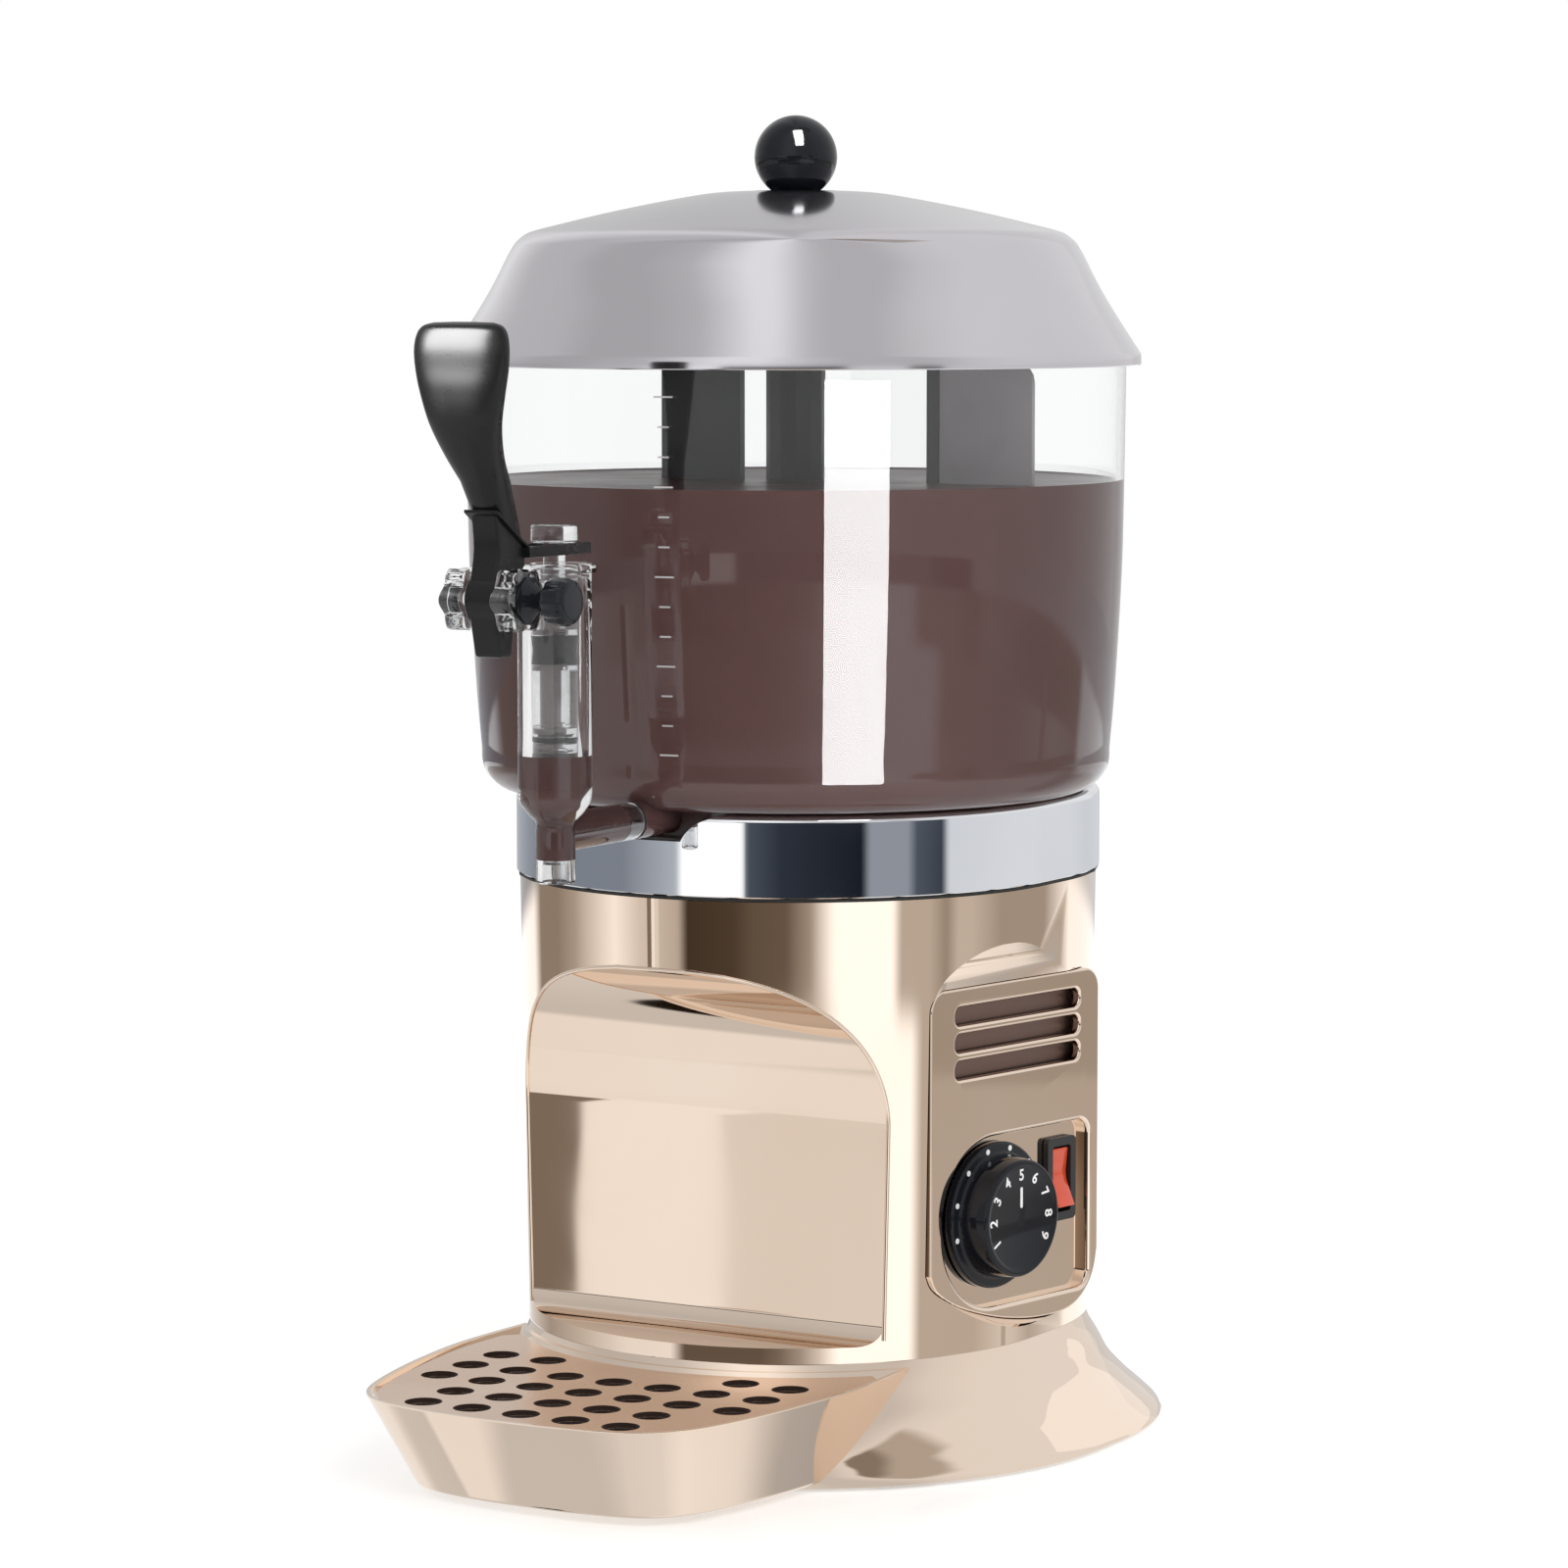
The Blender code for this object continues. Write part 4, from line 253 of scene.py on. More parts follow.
def circle(radius, steps, centre):
    angles = [2 * math.pi * step / steps for step in range(steps)]
    return [(centre[0] + radius * math.cos(a), centre[1] + radius * math.sin(a)) for a in angles]


def arc(centre, radius, start, end, steps):
    angles = [math.radians(start + (end - start) * step / steps) for step in range(steps + 1)]
    return [(centre[0] + radius * math.cos(a), centre[1] + radius * math.sin(a)) for a in angles]


def roundedBox(left, right, low, high, corners, steps=8):
    # the corners' radii go round from the lower left
    outline = []
    places = (
        (left, low, 1, 1, 180), (right, low, -1, 1, 270), (right, high, -1, -1, 0), (left, high, 1, -1, 90)
    )
    for (x, y, across, up, start), corner in zip(places, corners):
        outline += arc((x + across * corner, y + up * corner), corner, start, start + 90, steps)
    return outline


def roundOver(radius, z, edge, steps):
    # a quarter round on the outer top edge of a profile
    return arc((radius - edge, z - edge), edge, 90, 0, steps)


def inset(outline, distance):
    points = [Vector(point) for point in outline]
    moved = []
    for index, point in enumerate(points):
        before = (point - points[index - 1]).normalized()
        after = (points[(index + 1) % len(points)] - point).normalized()
        bisector = Vector((-before.y - after.y, before.x + after.x))
        moved.append(tuple(point + bisector * (2 * distance / bisector.length_squared)))
    return moved


def flowing(points, steps):
    # a smooth line through the points
    last = len(points) - 1
    line = []
    for index in range(last):
        a, b, c, d = (Vector(points[min(max(index + shift, 0), last)]) for shift in (-1, 0, 1, 2))
        for step in range(steps):
            t = step / steps
            line.append(tuple(0.5 * (
                2 * b + (c - a) * t + (2 * a - 5 * b + 4 * c - d) * t ** 2 + (3 * b - a - 3 * c + d) * t ** 3
            )))
    return line + [tuple(points[-1])]


def mirrored(points):
    # the other half of an outline that is drawn across X
    return [(-x, *rest) for x, *rest in reversed(points)]


def edgeDistance(point, outline):
    point = Vector(point)
    distances = []
    for index, start in enumerate(outline):
        start = Vector(start)
        edge = Vector(outline[(index + 1) % len(outline)]) - start
        if edge.length_squared > 1e-12:
            along = min(max((point - start).dot(edge) / edge.length_squared, 0), 1)
            distances.append((point - start - edge * along).length)
    return min(distances)


def inside(point, outline):
    x, y = point
    crossings = 0
    for index, (startX, startY) in enumerate(outline):
        endX, endY = outline[(index + 1) % len(outline)]
        if (startY > y) != (endY > y):
            crossings += x < startX + (endX - startX) * (y - startY) / (endY - startY)
    return crossings % 2 == 1


# Shader effects that several finishes share

def node(tree, kind, **settings):
    made = tree.nodes.new(kind)
    for key, value in settings.items():
        if key.startswith("in_"):
            made.inputs[key[3:].replace("_", " ")].default_value = value
        else:
            setattr(made, key, value)
    return made


def feed(tree, value, socket):
    # a socket takes a plain value or what another node puts out
    if isinstance(value, bpy.types.NodeSocket):
        tree.links.new(value, socket)
    elif value is not None:
        socket.default_value = value


def mapRange(tree, source, low, high, start=0.3, end=0.7, **settings):
    made = node(tree, "ShaderNodeMapRange", **settings)
    given = {"Value": source, "From Min": start, "From Max": end, "To Min": low, "To Max": high}
    for label, value in given.items():
        feed(tree, value, made.inputs[label])
    return made.outputs["Result"]


def mixColour(tree, factor, first, second):
    mix = node(tree, "ShaderNodeMix", data_type="RGBA")
    for index, value in ((0, factor), (6, first), (7, second)):
        feed(tree, value, mix.inputs[index])
    return mix.outputs[2]


def noise(tree, place, scale, detail, **settings):
    made = node(tree, "ShaderNodeTexNoise", in_Detail=detail, **settings)
    feed(tree, place, made.inputs["Vector"])
    feed(tree, scale, made.inputs["Scale"])
    return made.outputs["Fac"]


def addBump(tree, shader, height, strength, distance):
    bump = node(tree, "ShaderNodeBump", in_Strength=strength, in_Distance=distance)
    tree.links.new(height, bump.inputs["Height"])
    tree.links.new(bump.outputs["Normal"], shader.inputs["Normal"])


def startGroup(name, given, results):
    group = bpy.data.node_groups.new(name, "ShaderNodeTree")
    for label, value in given.items():
        kind = "NodeSocketVector" if isinstance(value, tuple) else "NodeSocketFloat"
        group.interface.new_socket(name=label, in_out="INPUT", socket_type=kind).default_value = value
    for label in results:
        group.interface.new_socket(name=label, in_out="OUTPUT", socket_type="NodeSocketFloat")
    entry = group.nodes.new("NodeGroupInput")
    leave = group.nodes.new("NodeGroupOutput")
    place = node(group, "ShaderNodeTexCoord")
    return group, entry.outputs, leave.inputs, place.outputs["Object"]


def makeHandledGroup():
    # wiped and handled metal: soft smudges in the gloss, and a very slight waviness
    group, given, result, place = startGroup(
        "handledMetal", {"Clean": 0.05, "Smudged": 0.12, "Smudge Scale": 9.0, "Wave Scale": 14.0},
        ("Roughness", "Height"),
    )
    smudge = noise(group, place, given["Smudge Scale"], 5.0, in_Distortion=0.6)
    wave = noise(group, place, given["Wave Scale"], 1.0)
    feed(group, mapRange(group, smudge, given["Clean"], given["Smudged"]), result["Roughness"])
    feed(group, wave, result["Height"])
    return group


def makeMouldedGroup():
    # the fine skin of a moulding, with a little dust in its gloss
    group, given, result, place = startGroup(
        "mouldedSkin", {"Gloss": 0.2, "Dull": 0.35, "Grain Scale": 900.0}, ("Roughness", "Height", "Dust")
    )
    grain = noise(group, place, given["Grain Scale"], 3.0)
    patch = noise(group, place, 38.0, 4.0)
    feed(group, mapRange(group, patch, given["Gloss"], given["Dull"]), result["Roughness"])
    feed(group, grain, result["Height"])
    feed(group, mapRange(group, patch, 0.0, 1.0), result["Dust"])
    return group


def makeBrushedGroup():
    # rolled or brushed sheet: long fine lines in one direction
    group, given, result, place = startGroup(
        "brushedSheet", {"Fine": 0.22, "Coarse": 0.4, "Line Scale": (20.0, 900.0, 900.0)},
        ("Roughness", "Height"),
    )
    stretch = node(group, "ShaderNodeVectorMath", operation="MULTIPLY")
    feed(group, place, stretch.inputs[0])
    feed(group, given["Line Scale"], stretch.inputs[1])
    lines = noise(group, stretch.outputs["Vector"], 1.0, 3.0)
    feed(group, mapRange(group, lines, given["Fine"], given["Coarse"]), result["Roughness"])
    feed(group, lines, result["Height"])
    return group


handledMetal = makeHandledGroup()
mouldedSkin = makeMouldedGroup()
brushedSheet = makeBrushedGroup()


def startMaterial(name, colour, **sockets):
    material = bpy.data.materials.new(name)
    material.use_nodes = True
    shader = material.node_tree.nodes["Principled BSDF"]
    shader.inputs["Base Color"].default_value = (*colour, 1)
    for key, value in sockets.items():
        shader.inputs[key.replace("_", " ")].default_value = value
    material.diffuse_color = (*colour, 1)
    return material, material.node_tree, shader


def placeGroup(tree, shader, group, values, bumpStrength, bumpDistance):
    effect = node(tree, "ShaderNodeGroup", node_tree=group)
    for label, value in values.items():
        effect.inputs[label].default_value = value
    tree.links.new(effect.outputs["Roughness"], shader.inputs["Roughness"])
    if bumpDistance:
        addBump(tree, shader, effect.outputs["Height"], bumpStrength, bumpDistance)
    return effect.outputs


def tintBy(tree, shader, factor, first, second):
    # the colour moves between two tones where the factor does
    tree.links.new(mixColour(tree, factor, (*first, 1), (*second, 1)), shader.inputs["Base Color"])


def brightened(colour, factor, more=0.0):
    return tuple(min(1, level * factor + more) for level in colour)


metals = {
    "champagne": {"colour": (0.88, 0.735, 0.615), "tarnish": (0.85, 0.695, 0.57),
                  "clean": 0.015, "smudged": 0.04, "wave": 0.00012},
    "lidSilver": {"colour": (0.66, 0.64, 0.67), "tarnish": (0.62, 0.60, 0.63),
                  "clean": 0.10, "smudged": 0.16, "wave": 0.0004},
    "chrome": {"colour": (0.86, 0.87, 0.89), "tarnish": (0.80, 0.81, 0.84),
               "clean": 0.012, "smudged": 0.035, "wave": 0.00005},
    "peach": {"colour": (0.88, 0.66, 0.51), "tarnish": (0.80, 0.58, 0.43),
              "clean": 0.22, "smudged": 0.34, "wave": 0.00012},
}


def metalFinish(name):
    metal = metals[name]
    clean, smudged = metal["clean"], metal["smudged"]
    material, tree, shader = startMaterial(name, metal["colour"], Metallic=1.0)
    effect = placeGroup(tree, shader, handledMetal, {"Clean": clean, "Smudged": smudged}, 0.35, metal["wave"])
    tone = mapRange(tree, effect["Roughness"], 0.0, 1.0, clean, smudged)
    tintBy(tree, shader, tone, metal["colour"], metal["tarnish"])
    return material


def plasticFinish(name, colour, gloss, dull, grain=900.0, depth=0.00002, dusty=None, **sockets):
    material, tree, shader = startMaterial(name, colour, **sockets)
    values = {"Gloss": gloss, "Dull": dull, "Grain Scale": grain}
    effect = placeGroup(tree, shader, mouldedSkin, values, 0.4, depth)
    tintBy(tree, shader, effect["Dust"], colour, dusty or brightened(colour, 1.25, 0.002))
    return material


def sheetFinish(name, colour, fine, coarse, lines):
    material, tree, shader = startMaterial(name, colour, Metallic=1.0)
    values = {"Fine": fine, "Coarse": coarse, "Line Scale": lines}
    effect = placeGroup(tree, shader, brushedSheet, values, 0.25, 0.00002)
    tintBy(tree, shader, effect["Height"], brightened(colour, 0.9), brightened(colour, 1.06))
    return material


def clearFinish(name, colour, gloss, dull, depth=0.0):
    # clear moulding: the colour, metal and transmission stay plain numbers
    material, tree, shader = startMaterial(name, colour, Transmission_Weight=1.0, IOR=1.49)
    placeGroup(tree, shader, mouldedSkin, {"Gloss": gloss, "Dull": dull, "Grain Scale": 60.0}, 0.2, depth)
    return material


champagne, lidSilver, chrome, peach = (metalFinish(name) for name in metals)
clearBowl = clearFinish("clearBowl", (0.985, 0.99, 0.99), 0.0, 0.012)
clearTap = clearFinish("clearTap", (0.80, 0.805, 0.81), 0.01, 0.04, 0.00005)
chocolate = plasticFinish(
    "chocolate", (0.132, 0.069, 0.065), 0.3, 0.42, 12.0, 0.00001, (0.140, 0.074, 0.070),
    Specular_IOR_Level=0.1,
)
glossBlack = plasticFinish(
    "glossBlack", (0.007, 0.008, 0.011), 0.03, 0.08, 500.0, 0.000005, Specular_IOR_Level=0.25
)
markGrey = plasticFinish("markGrey", (0.42, 0.40, 0.40), 0.35, 0.5)
leverBlack = plasticFinish("leverBlack", (0.007, 0.007, 0.0075), 0.22, 0.30, 700.0, Specular_IOR_Level=0.25)
mouldedBlack = plasticFinish("mouldedBlack", (0.014, 0.014, 0.015), 0.38, 0.52)
smokyBlade = plasticFinish("smokyBlade", (0.34, 0.32, 0.335), 0.35, 0.5, 300.0)
rubber = plasticFinish("rubber", (0.014, 0.014, 0.014), 0.62, 0.85, 1200.0, 0.00005)
printWhite = plasticFinish("printWhite", (0.80, 0.80, 0.80), 0.35, 0.5)
offWhite = plasticFinish("offWhite", (0.72, 0.70, 0.65), 0.4, 0.6)
redLens = plasticFinish(
    "redLens", (0.62, 0.055, 0.016), 0.06, 0.14, 500.0, 0.00001, (0.70, 0.09, 0.03), Coat_Weight=0.5
)
stainless = sheetFinish("stainless", (0.60, 0.59, 0.575), 0.2, 0.36, (14.0, 14.0, 900.0))
# a darkened copy of the champagne: painted shade and painted reflection behind the louvres
shadedChampagneSheet = sheetFinish("shadedChampagneSheet", (0.20, 0.135, 0.115), 0.35, 0.5, (18.0, 18.0, 700.0))
# a dark, dull sheet: painted shade inside the tray and in the grille's holes
paintedShadeMetal = sheetFinish("paintedShadeMetal", (0.035, 0.022, 0.018), 0.45, 0.65, (60.0, 60.0, 60.0))
zincSheet = sheetFinish("zincSheet", (0.52, 0.52, 0.51), 0.34, 0.5, (18.0, 700.0, 18.0))
print("finishes made")


# Tower with its cup niche, flared foot and side panel

tower = {
    "top": 0.2165, "topRadius": 0.1077, "lowRadius": 0.1048, "depth": 0.0215, "wall": 0.003,
    "footRadius": 0.1348, "footHeight": 0.042, "lip": 0.001, "lipRound": 0.0008, "steps": 160,
    "footCurve": ((0.0, 1.0), (0.07, 0.86), (0.20, 0.69), (0.345, 0.51), (0.57, 0.33),
                  (0.82, 0.17), (0.95, 0.085), (1.0, 0.035)),
    "glandRadius": 0.007, "glandHeight": 0.062,
}
niche = {
    "back": -0.070, "floor": 0.048, "spring": 0.130, "cove": 0.067, "heel": 0.0075, "steps": 36,
    "bead": 0.0008, "beadProud": 0.0001, "beadFoot": 0.002, "beadCrown": 0.004, "beadRise": 0.0002,
}


def stretched(obj):
    # the rear half stands back, so round sections become oblong
    for vert in obj.data.vertices:
        if vert.co.y > 0:
            vert.co.y += tower["depth"]
    return obj


def towerOutline(grow=0.0):
    flare = tower["footRadius"] - tower["lowRadius"]
    foot = [(tower["lowRadius"] + flare * out, tower["footHeight"] * up) for out, up in tower["footCurve"]]
    points = [(tower["topRadius"], tower["top"])] + flowing(foot, 5)
    return [(radius + grow, z) for radius, z in points]


def towerRadius(z):
    outline = towerOutline()
    for (upperRadius, upper), (lowerRadius, lower) in zip(outline, outline[1:]):
        if z >= lower:
            return lowerRadius + (upperRadius - lowerRadius) * (z - lower) / (upper - lower)
    return outline[-1][0]


def nicheOutline(grow=0.0):
    centre = (niche["back"] - niche["cove"], niche["spring"])
    front = centre[0] - passThrough
    floor = niche["floor"] - grow
    heel = niche["heel"] + grow
    outline = arc(centre, niche["cove"] + grow, 0, 90, niche["steps"])
    outline += [(front, niche["spring"] + niche["cove"] + grow), (front, floor)]
    return outline + arc((niche["back"] + grow - heel, floor + heel), heel, 270, 360, 8)


def nicheNormal(place):
    # the niche is a flat back between a round cove above and a small round heel below
    near = 0.0001
    cove = Vector((0, niche["back"] - niche["cove"] - place.y, niche["spring"] - place.z))
    heel = Vector((0, niche["back"] - niche["heel"] - place.y, niche["floor"] + niche["heel"] - place.z))
    if place.z >= niche["spring"] - near and abs(cove.length - niche["cove"]) < near:
        return cove.normalized()
    if heel.z <= near and abs(place.y - niche["back"]) < near:
        return Vector((0, -1, 0))
    if heel.z > -near and abs(heel.length - niche["heel"]) < near:
        return heel.normalized()
    return None


def wallNormal(place, slopes):
    # the way that a turned wall faces at a place, if the place is on that wall
    near = 0.00015
    depth = tower["depth"]
    y = place.y - depth if place.y > depth / 2 else place.y
    radius = math.hypot(place.x, y)
    for (upper, upperRadius, upperSlope), (lower, lowerRadius, lowerSlope) in zip(slopes, slopes[1:]):
        if upper + 1e-6 >= place.z >= lower - 1e-6:
            share = (upper - place.z) / max(upper - lower, 1e-9)
            wall = upperRadius + (lowerRadius - upperRadius) * share
            slope = upperSlope.lerp(lowerSlope, share)
            if abs(wall - radius) >= near:
                return None
            if 0 < place.y < depth:  # the flat stretch between the two halves
                return Vector((slope.x * math.copysign(1, place.x), 0, slope.y)).normalized()
            return Vector((slope.x * place.x / radius, slope.x * y / radius, slope.y)).normalized()
    return None


def trueNormals(obj, outline, withNiche=False):
    # cut faces of a turned wall keep the even normals of the whole wall
    slopes = []
    for index, (radius, z) in enumerate(outline):
        before = Vector(outline[max(index - 1, 0)])
        after = Vector(outline[min(index + 1, len(outline) - 1)])
        way = (after - before).normalized()
        slopes.append((z, radius, Vector((-way.y, way.x))))
    mesh = obj.data
    mesh.transform(Matrix.Translation((0, -axisY, 0)))
    mesh.calc_loop_triangles()
    normals = [Vector(corner.vector) for corner in mesh.corner_normals]
    for face in mesh.polygons:
        for corner in face.loop_indices:
            place = mesh.vertices[mesh.loops[corner].vertex_index].co
            normal = wallNormal(place, slopes)
            if normal and normal.dot(face.normal) > 0.9:
                normals[corner] = normal
            normal = nicheNormal(place) if withNiche and abs(face.normal.x) < 0.02 else None
            if normal and normal.dot(face.normal) > 0.8:
                normals[corner] = normal
    mesh.normals_split_custom_set(normals)
    mesh.transform(toAxis)


panel = {
    "turn": 79, "distance": 0.1005, "left": -0.0385, "right": 0.064, "low": 0.048, "high": 0.181,
    "corner": 0.008, "depth": 0.0125, "face": 0.003,
    "softEdge": ((-0.0007, 0.0), (-0.0003, 0.0001), (-0.0001, 0.0003), (0.0, 0.0007)),
    "foot": ((0.0, 0.190), (0.022, 0.150), (0.080, 0.115), (0.175, 0.080), (0.300, 0.048),
             (0.430, 0.023), (0.570, 0.006), (0.690, 0.0), (0.800, 0.004), (0.880, 0.024),
             (0.945, 0.064), (0.982, 0.112), (1.0, 0.170)),
    "hoodRise": 0.0155, "hoodSide": 0.003, "hoodDepth": 0.009, "hoodSteps": 8, "hoodCurve": 1.4,
    "pocket": (-0.031, 0.058, 0.0565, 0.122), "pocketRound": 0.031, "pocketCorner": 0.006,
    "pocketDepth": 0.004, "pocketEdge": 0.0018, "louvres": 3, "louvreEnds": (-0.024, 0.052),
    "louvreHeight": 0.0072, "louvrePitch": 0.0103, "louvreTop": 0.1738, "louvreCorner": 0.0030,
    "louvreEdge": 0.0012, "shadeSheet": 0.0050, "shadeSheetThick": 0.0008, "shadeSheetSide": 0.003,
    "shadeSheetBelow": 0.001, "shadeSheetAbove": 0.002, "shaftHole": 0.0035,
}
panelOut = Vector((math.sin(math.radians(panel["turn"])), -math.cos(math.radians(panel["turn"])), 0))
panelAlong = Vector((-panelOut.y, panelOut.x, 0))
onPanel = (
    Matrix.Translation(panelOut * panel["distance"])
    @ Matrix((panelAlong, (0, 0, 1), panelOut)).transposed().to_4x4()
)
switch = {
    "along": 0.043, "height": 0.100, "frame": (0.0175, 0.0325), "frameThick": 0.0024,
    "body": (0.0145, 0.0290), "bodyDepth": 0.018, "window": (0.0112, 0.0258), "windowDepth": 0.0125,
    "length": 0.0228, "tilt": 9, "pivotDepth": 0.0035, "tip": 0.0045, "dip": 0.0018, "back": 0.0050,
    "rise": 0.0012, "backShare": 0.55, "play": 0.0005, "round": 0.0007, "crisp": 0.0002,
}
dial = {
    "along": 0.002, "height": 0.0915, "skirt": 0.0282, "skirtThick": 0.0034, "face": 0.0225,
    "tall": 0.0150, "edge": 0.0012, "taper": 0.0012, "socket": 0.0115, "bore": 0.0033,
    "rim": (0.84, 0.87, 0.90), "numerals": "123456789", "numeralSize": 0.0060, "numeralRadius": 0.0165,
    "firstNumeral": 210, "numeralPitch": 30, "bold": 0.00012, "print": 0.00006, "sunk": 0.0002,
    "dot": 0.0011, "dotGap": 0.0034, "pointer": (0.0040, 0.0120), "pointerHalf": 0.0007,
    "pointerRound": 0.0006, "pointerPrint": 0.00008, "lift": 0.0005,
}


def panelOutline(grow=0.0):
    width = panel["right"] - panel["left"]
    height = panel["high"] - panel["low"]
    foot = [(panel["left"] + width * across, panel["low"] + height * up) for across, up in panel["foot"]]
    corner = panel["corner"]
    outline = flowing(foot, 3)
    outline += arc((panel["right"] - corner, panel["high"] - corner), corner, 0, 90, 8)
    outline += arc((panel["left"] + corner, panel["high"] - corner), corner, 90, 180, 8)
    return inset(outline, -grow)


def facetScoop(name, grow=0.0):
    # the air before the panel: it opens upwards into a sloping hood
    middle = (panel["low"] + panel["high"]) / 2
    inner = panelOutline(grow)
    outer = panelOutline(grow + panel["hoodSide"])
    rings = [[(along, z, -grow) for along, z in inner]]
    for step in range(1, panel["hoodSteps"] + 1):
        share = step / panel["hoodSteps"]
        rise = panel["hoodRise"] * (1 - (1 - share) ** panel["hoodCurve"])
        ring = []
        for (innerAlong, innerZ), (outerAlong, outerZ) in zip(inner, outer):
            z = innerZ + (outerZ - innerZ) * share
            z += rise if outerZ > middle else -panel["hoodSide"] * share
            along = innerAlong + (outerAlong - innerAlong) * share
            ring.append((along, z, panel["hoodDepth"] * share - grow))
        rings.append(ring)
    rings.append([(along, z, passThrough) for along, z, _ in rings[-1]])
    scoop = loft(name, rings)
    scoop.data.transform(onPanel)
    return scoop


def makeTower():
    outline = towerOutline()
    top, lip, steps = tower["top"], tower["lip"], tower["steps"]
    lipRadius = outline[-1][0]
    profile = [(0, top)] + outline + [(lipRadius - tower["lipRound"], lip), (0, lip)]
    shell = stretched(lathe("towerShell", profile, steps))
    inner = towerOutline(-tower["wall"])
    profile = [(0, top + passThrough), (inner[0][0], top + passThrough)] + inner[1:]
    hollow = stretched(lathe("hollow", profile + [(inner[-1][0], -passThrough), (0, -passThrough)], steps))
    reach = tower["footRadius"] + passThrough
    carve(hollow, prism("nicheWall", [nicheOutline(tower["wall"])], -reach, reach, sideView))
    carve(hollow, facetScoop("facetWall", tower["wall"]))
    carve(shell, prism("nicheAir", [nicheOutline()], -reach, reach, sideView), facetScoop("facetAir"), hollow)
    gland = (0, tower["depth"] + towerRadius(tower["glandHeight"]), tower["glandHeight"])
    carve(shell, prism("panelHole", [panelOutline(fit)], -passThrough, passThrough, onPanel),
          cylinder("glandHole", tower["glandRadius"], -passThrough, passThrough, 32, gland, alongFront))
    dress(shell, champagne, "housing", ["body_shell"], 30)
    trueNormals(shell, outline, True)


def makeBead():
    # a fine bead covers the edge between tower and niche
    proud = niche["beadProud"]
    radius = towerRadius(niche["floor"]) + proud
    line = [(math.sqrt(radius ** 2 - niche["back"] ** 2), niche["back"], niche["floor"] + niche["beadFoot"])]
    for y, z in nicheOutline()[:niche["steps"] + 1]:
        radius = towerRadius(z) + proud
        if abs(y) >= radius:
            crown = niche["beadCrown"]
            line.append((crown, -math.sqrt(radius ** 2 - crown ** 2), line[-1][2] + niche["beadRise"]))
            break
        line.append((math.sqrt(radius ** 2 - y ** 2), y, z))
    dress(wire("nicheBead", line + mirrored(line), niche["bead"]), champagne, "housing")


makeTower()
makeBead()
print("tower made")


def edgedAir(name, outline, depth, edge, steps):
    # the air of an opening in the panel, with a rounded front edge
    levels = [(0, -depth)]
    for step in range(steps + 1):
        turn = math.pi / 2 * step / steps
        levels.append((edge * (1 - math.cos(turn)), -edge + edge * math.sin(turn)))
    levels.append((edge, panel["pocketDepth"]))
    return loft(name, [[(x, z, out) for x, z in inset(outline, -grow)] for grow, out in levels])


def switchOutline(width, height, grow=0.0):
    halfWidth, halfHeight = width / 2 + grow, height / 2 + grow
    return roundedBox(
        switch["along"] - halfWidth, switch["along"] + halfWidth,
        switch["height"] - halfHeight, switch["height"] + halfHeight, (width / 9,) * 4, 5,
    )


def makePanel():
    thick, wall = panel["depth"], panel["face"]
    edge = [(-thick, 0.0)] + list(panel["softEdge"])
    face = loft("controlPanel", [[(x, z, out) for x, z in inset(panelOutline(), less)] for out, less in edge])
    behind = prism("behind", [panelOutline(-wall)], -thick - passThrough, -wall)
    corners = (panel["pocketRound"], panel["pocketCorner"], panel["pocketCorner"], panel["pocketRound"])
    pocket = roundedBox(*panel["pocket"], corners, 16)
    carve(behind, prism("pocketFloor", [inset(pocket, -wall)], -panel["pocketDepth"] - wall, passThrough))
    tools = [behind, edgedAir("pocketAir", pocket, panel["pocketDepth"], panel["pocketEdge"], 6)]
    left, right = panel["louvreEnds"]
    for index in range(panel["louvres"]):
        top = panel["louvreTop"] - index * panel["louvrePitch"]
        slot = roundedBox(left, right, top - panel["louvreHeight"], top, (panel["louvreCorner"],) * 4)
        tools.append(edgedAir("louvreAir" + str(index), slot, passThrough, panel["louvreEdge"], 4))
    hole = circle(panel["shaftHole"], 40, (dial["along"], dial["height"]))
    tools.append(prism("shaftHole", [hole], -passThrough, passThrough))
    tools.append(prism("switchHole", [switchOutline(*switch["body"], fit)], -passThrough, passThrough))
    carve(face, *tools)
    face.data.transform(onPanel)
    dress(face, champagne, "housing", ["control_panel"], 28, flat=True)
    # a dark sheet behind the louvres stands for the shade and brown reflections inside them: painted shade
    # and painted reflection
    low = panel["louvreTop"] - panel["louvrePitch"] * panel["louvres"]
    side = panel["shadeSheetSide"]
    outline = roundedBox(left - side, right + side, low - panel["shadeSheetBelow"],
                         panel["louvreTop"] + panel["shadeSheetAbove"], (side,) * 4)
    shadeSheet = prism("louvreScreen", [outline], -panel["shadeSheet"] - panel["shadeSheetThick"], -panel["shadeSheet"])
    softenEdges(shadeSheet, 0.0003, 2)
    shadeSheet.data.transform(onPanel)
    dress(shadeSheet, shadedChampagneSheet, "housing")


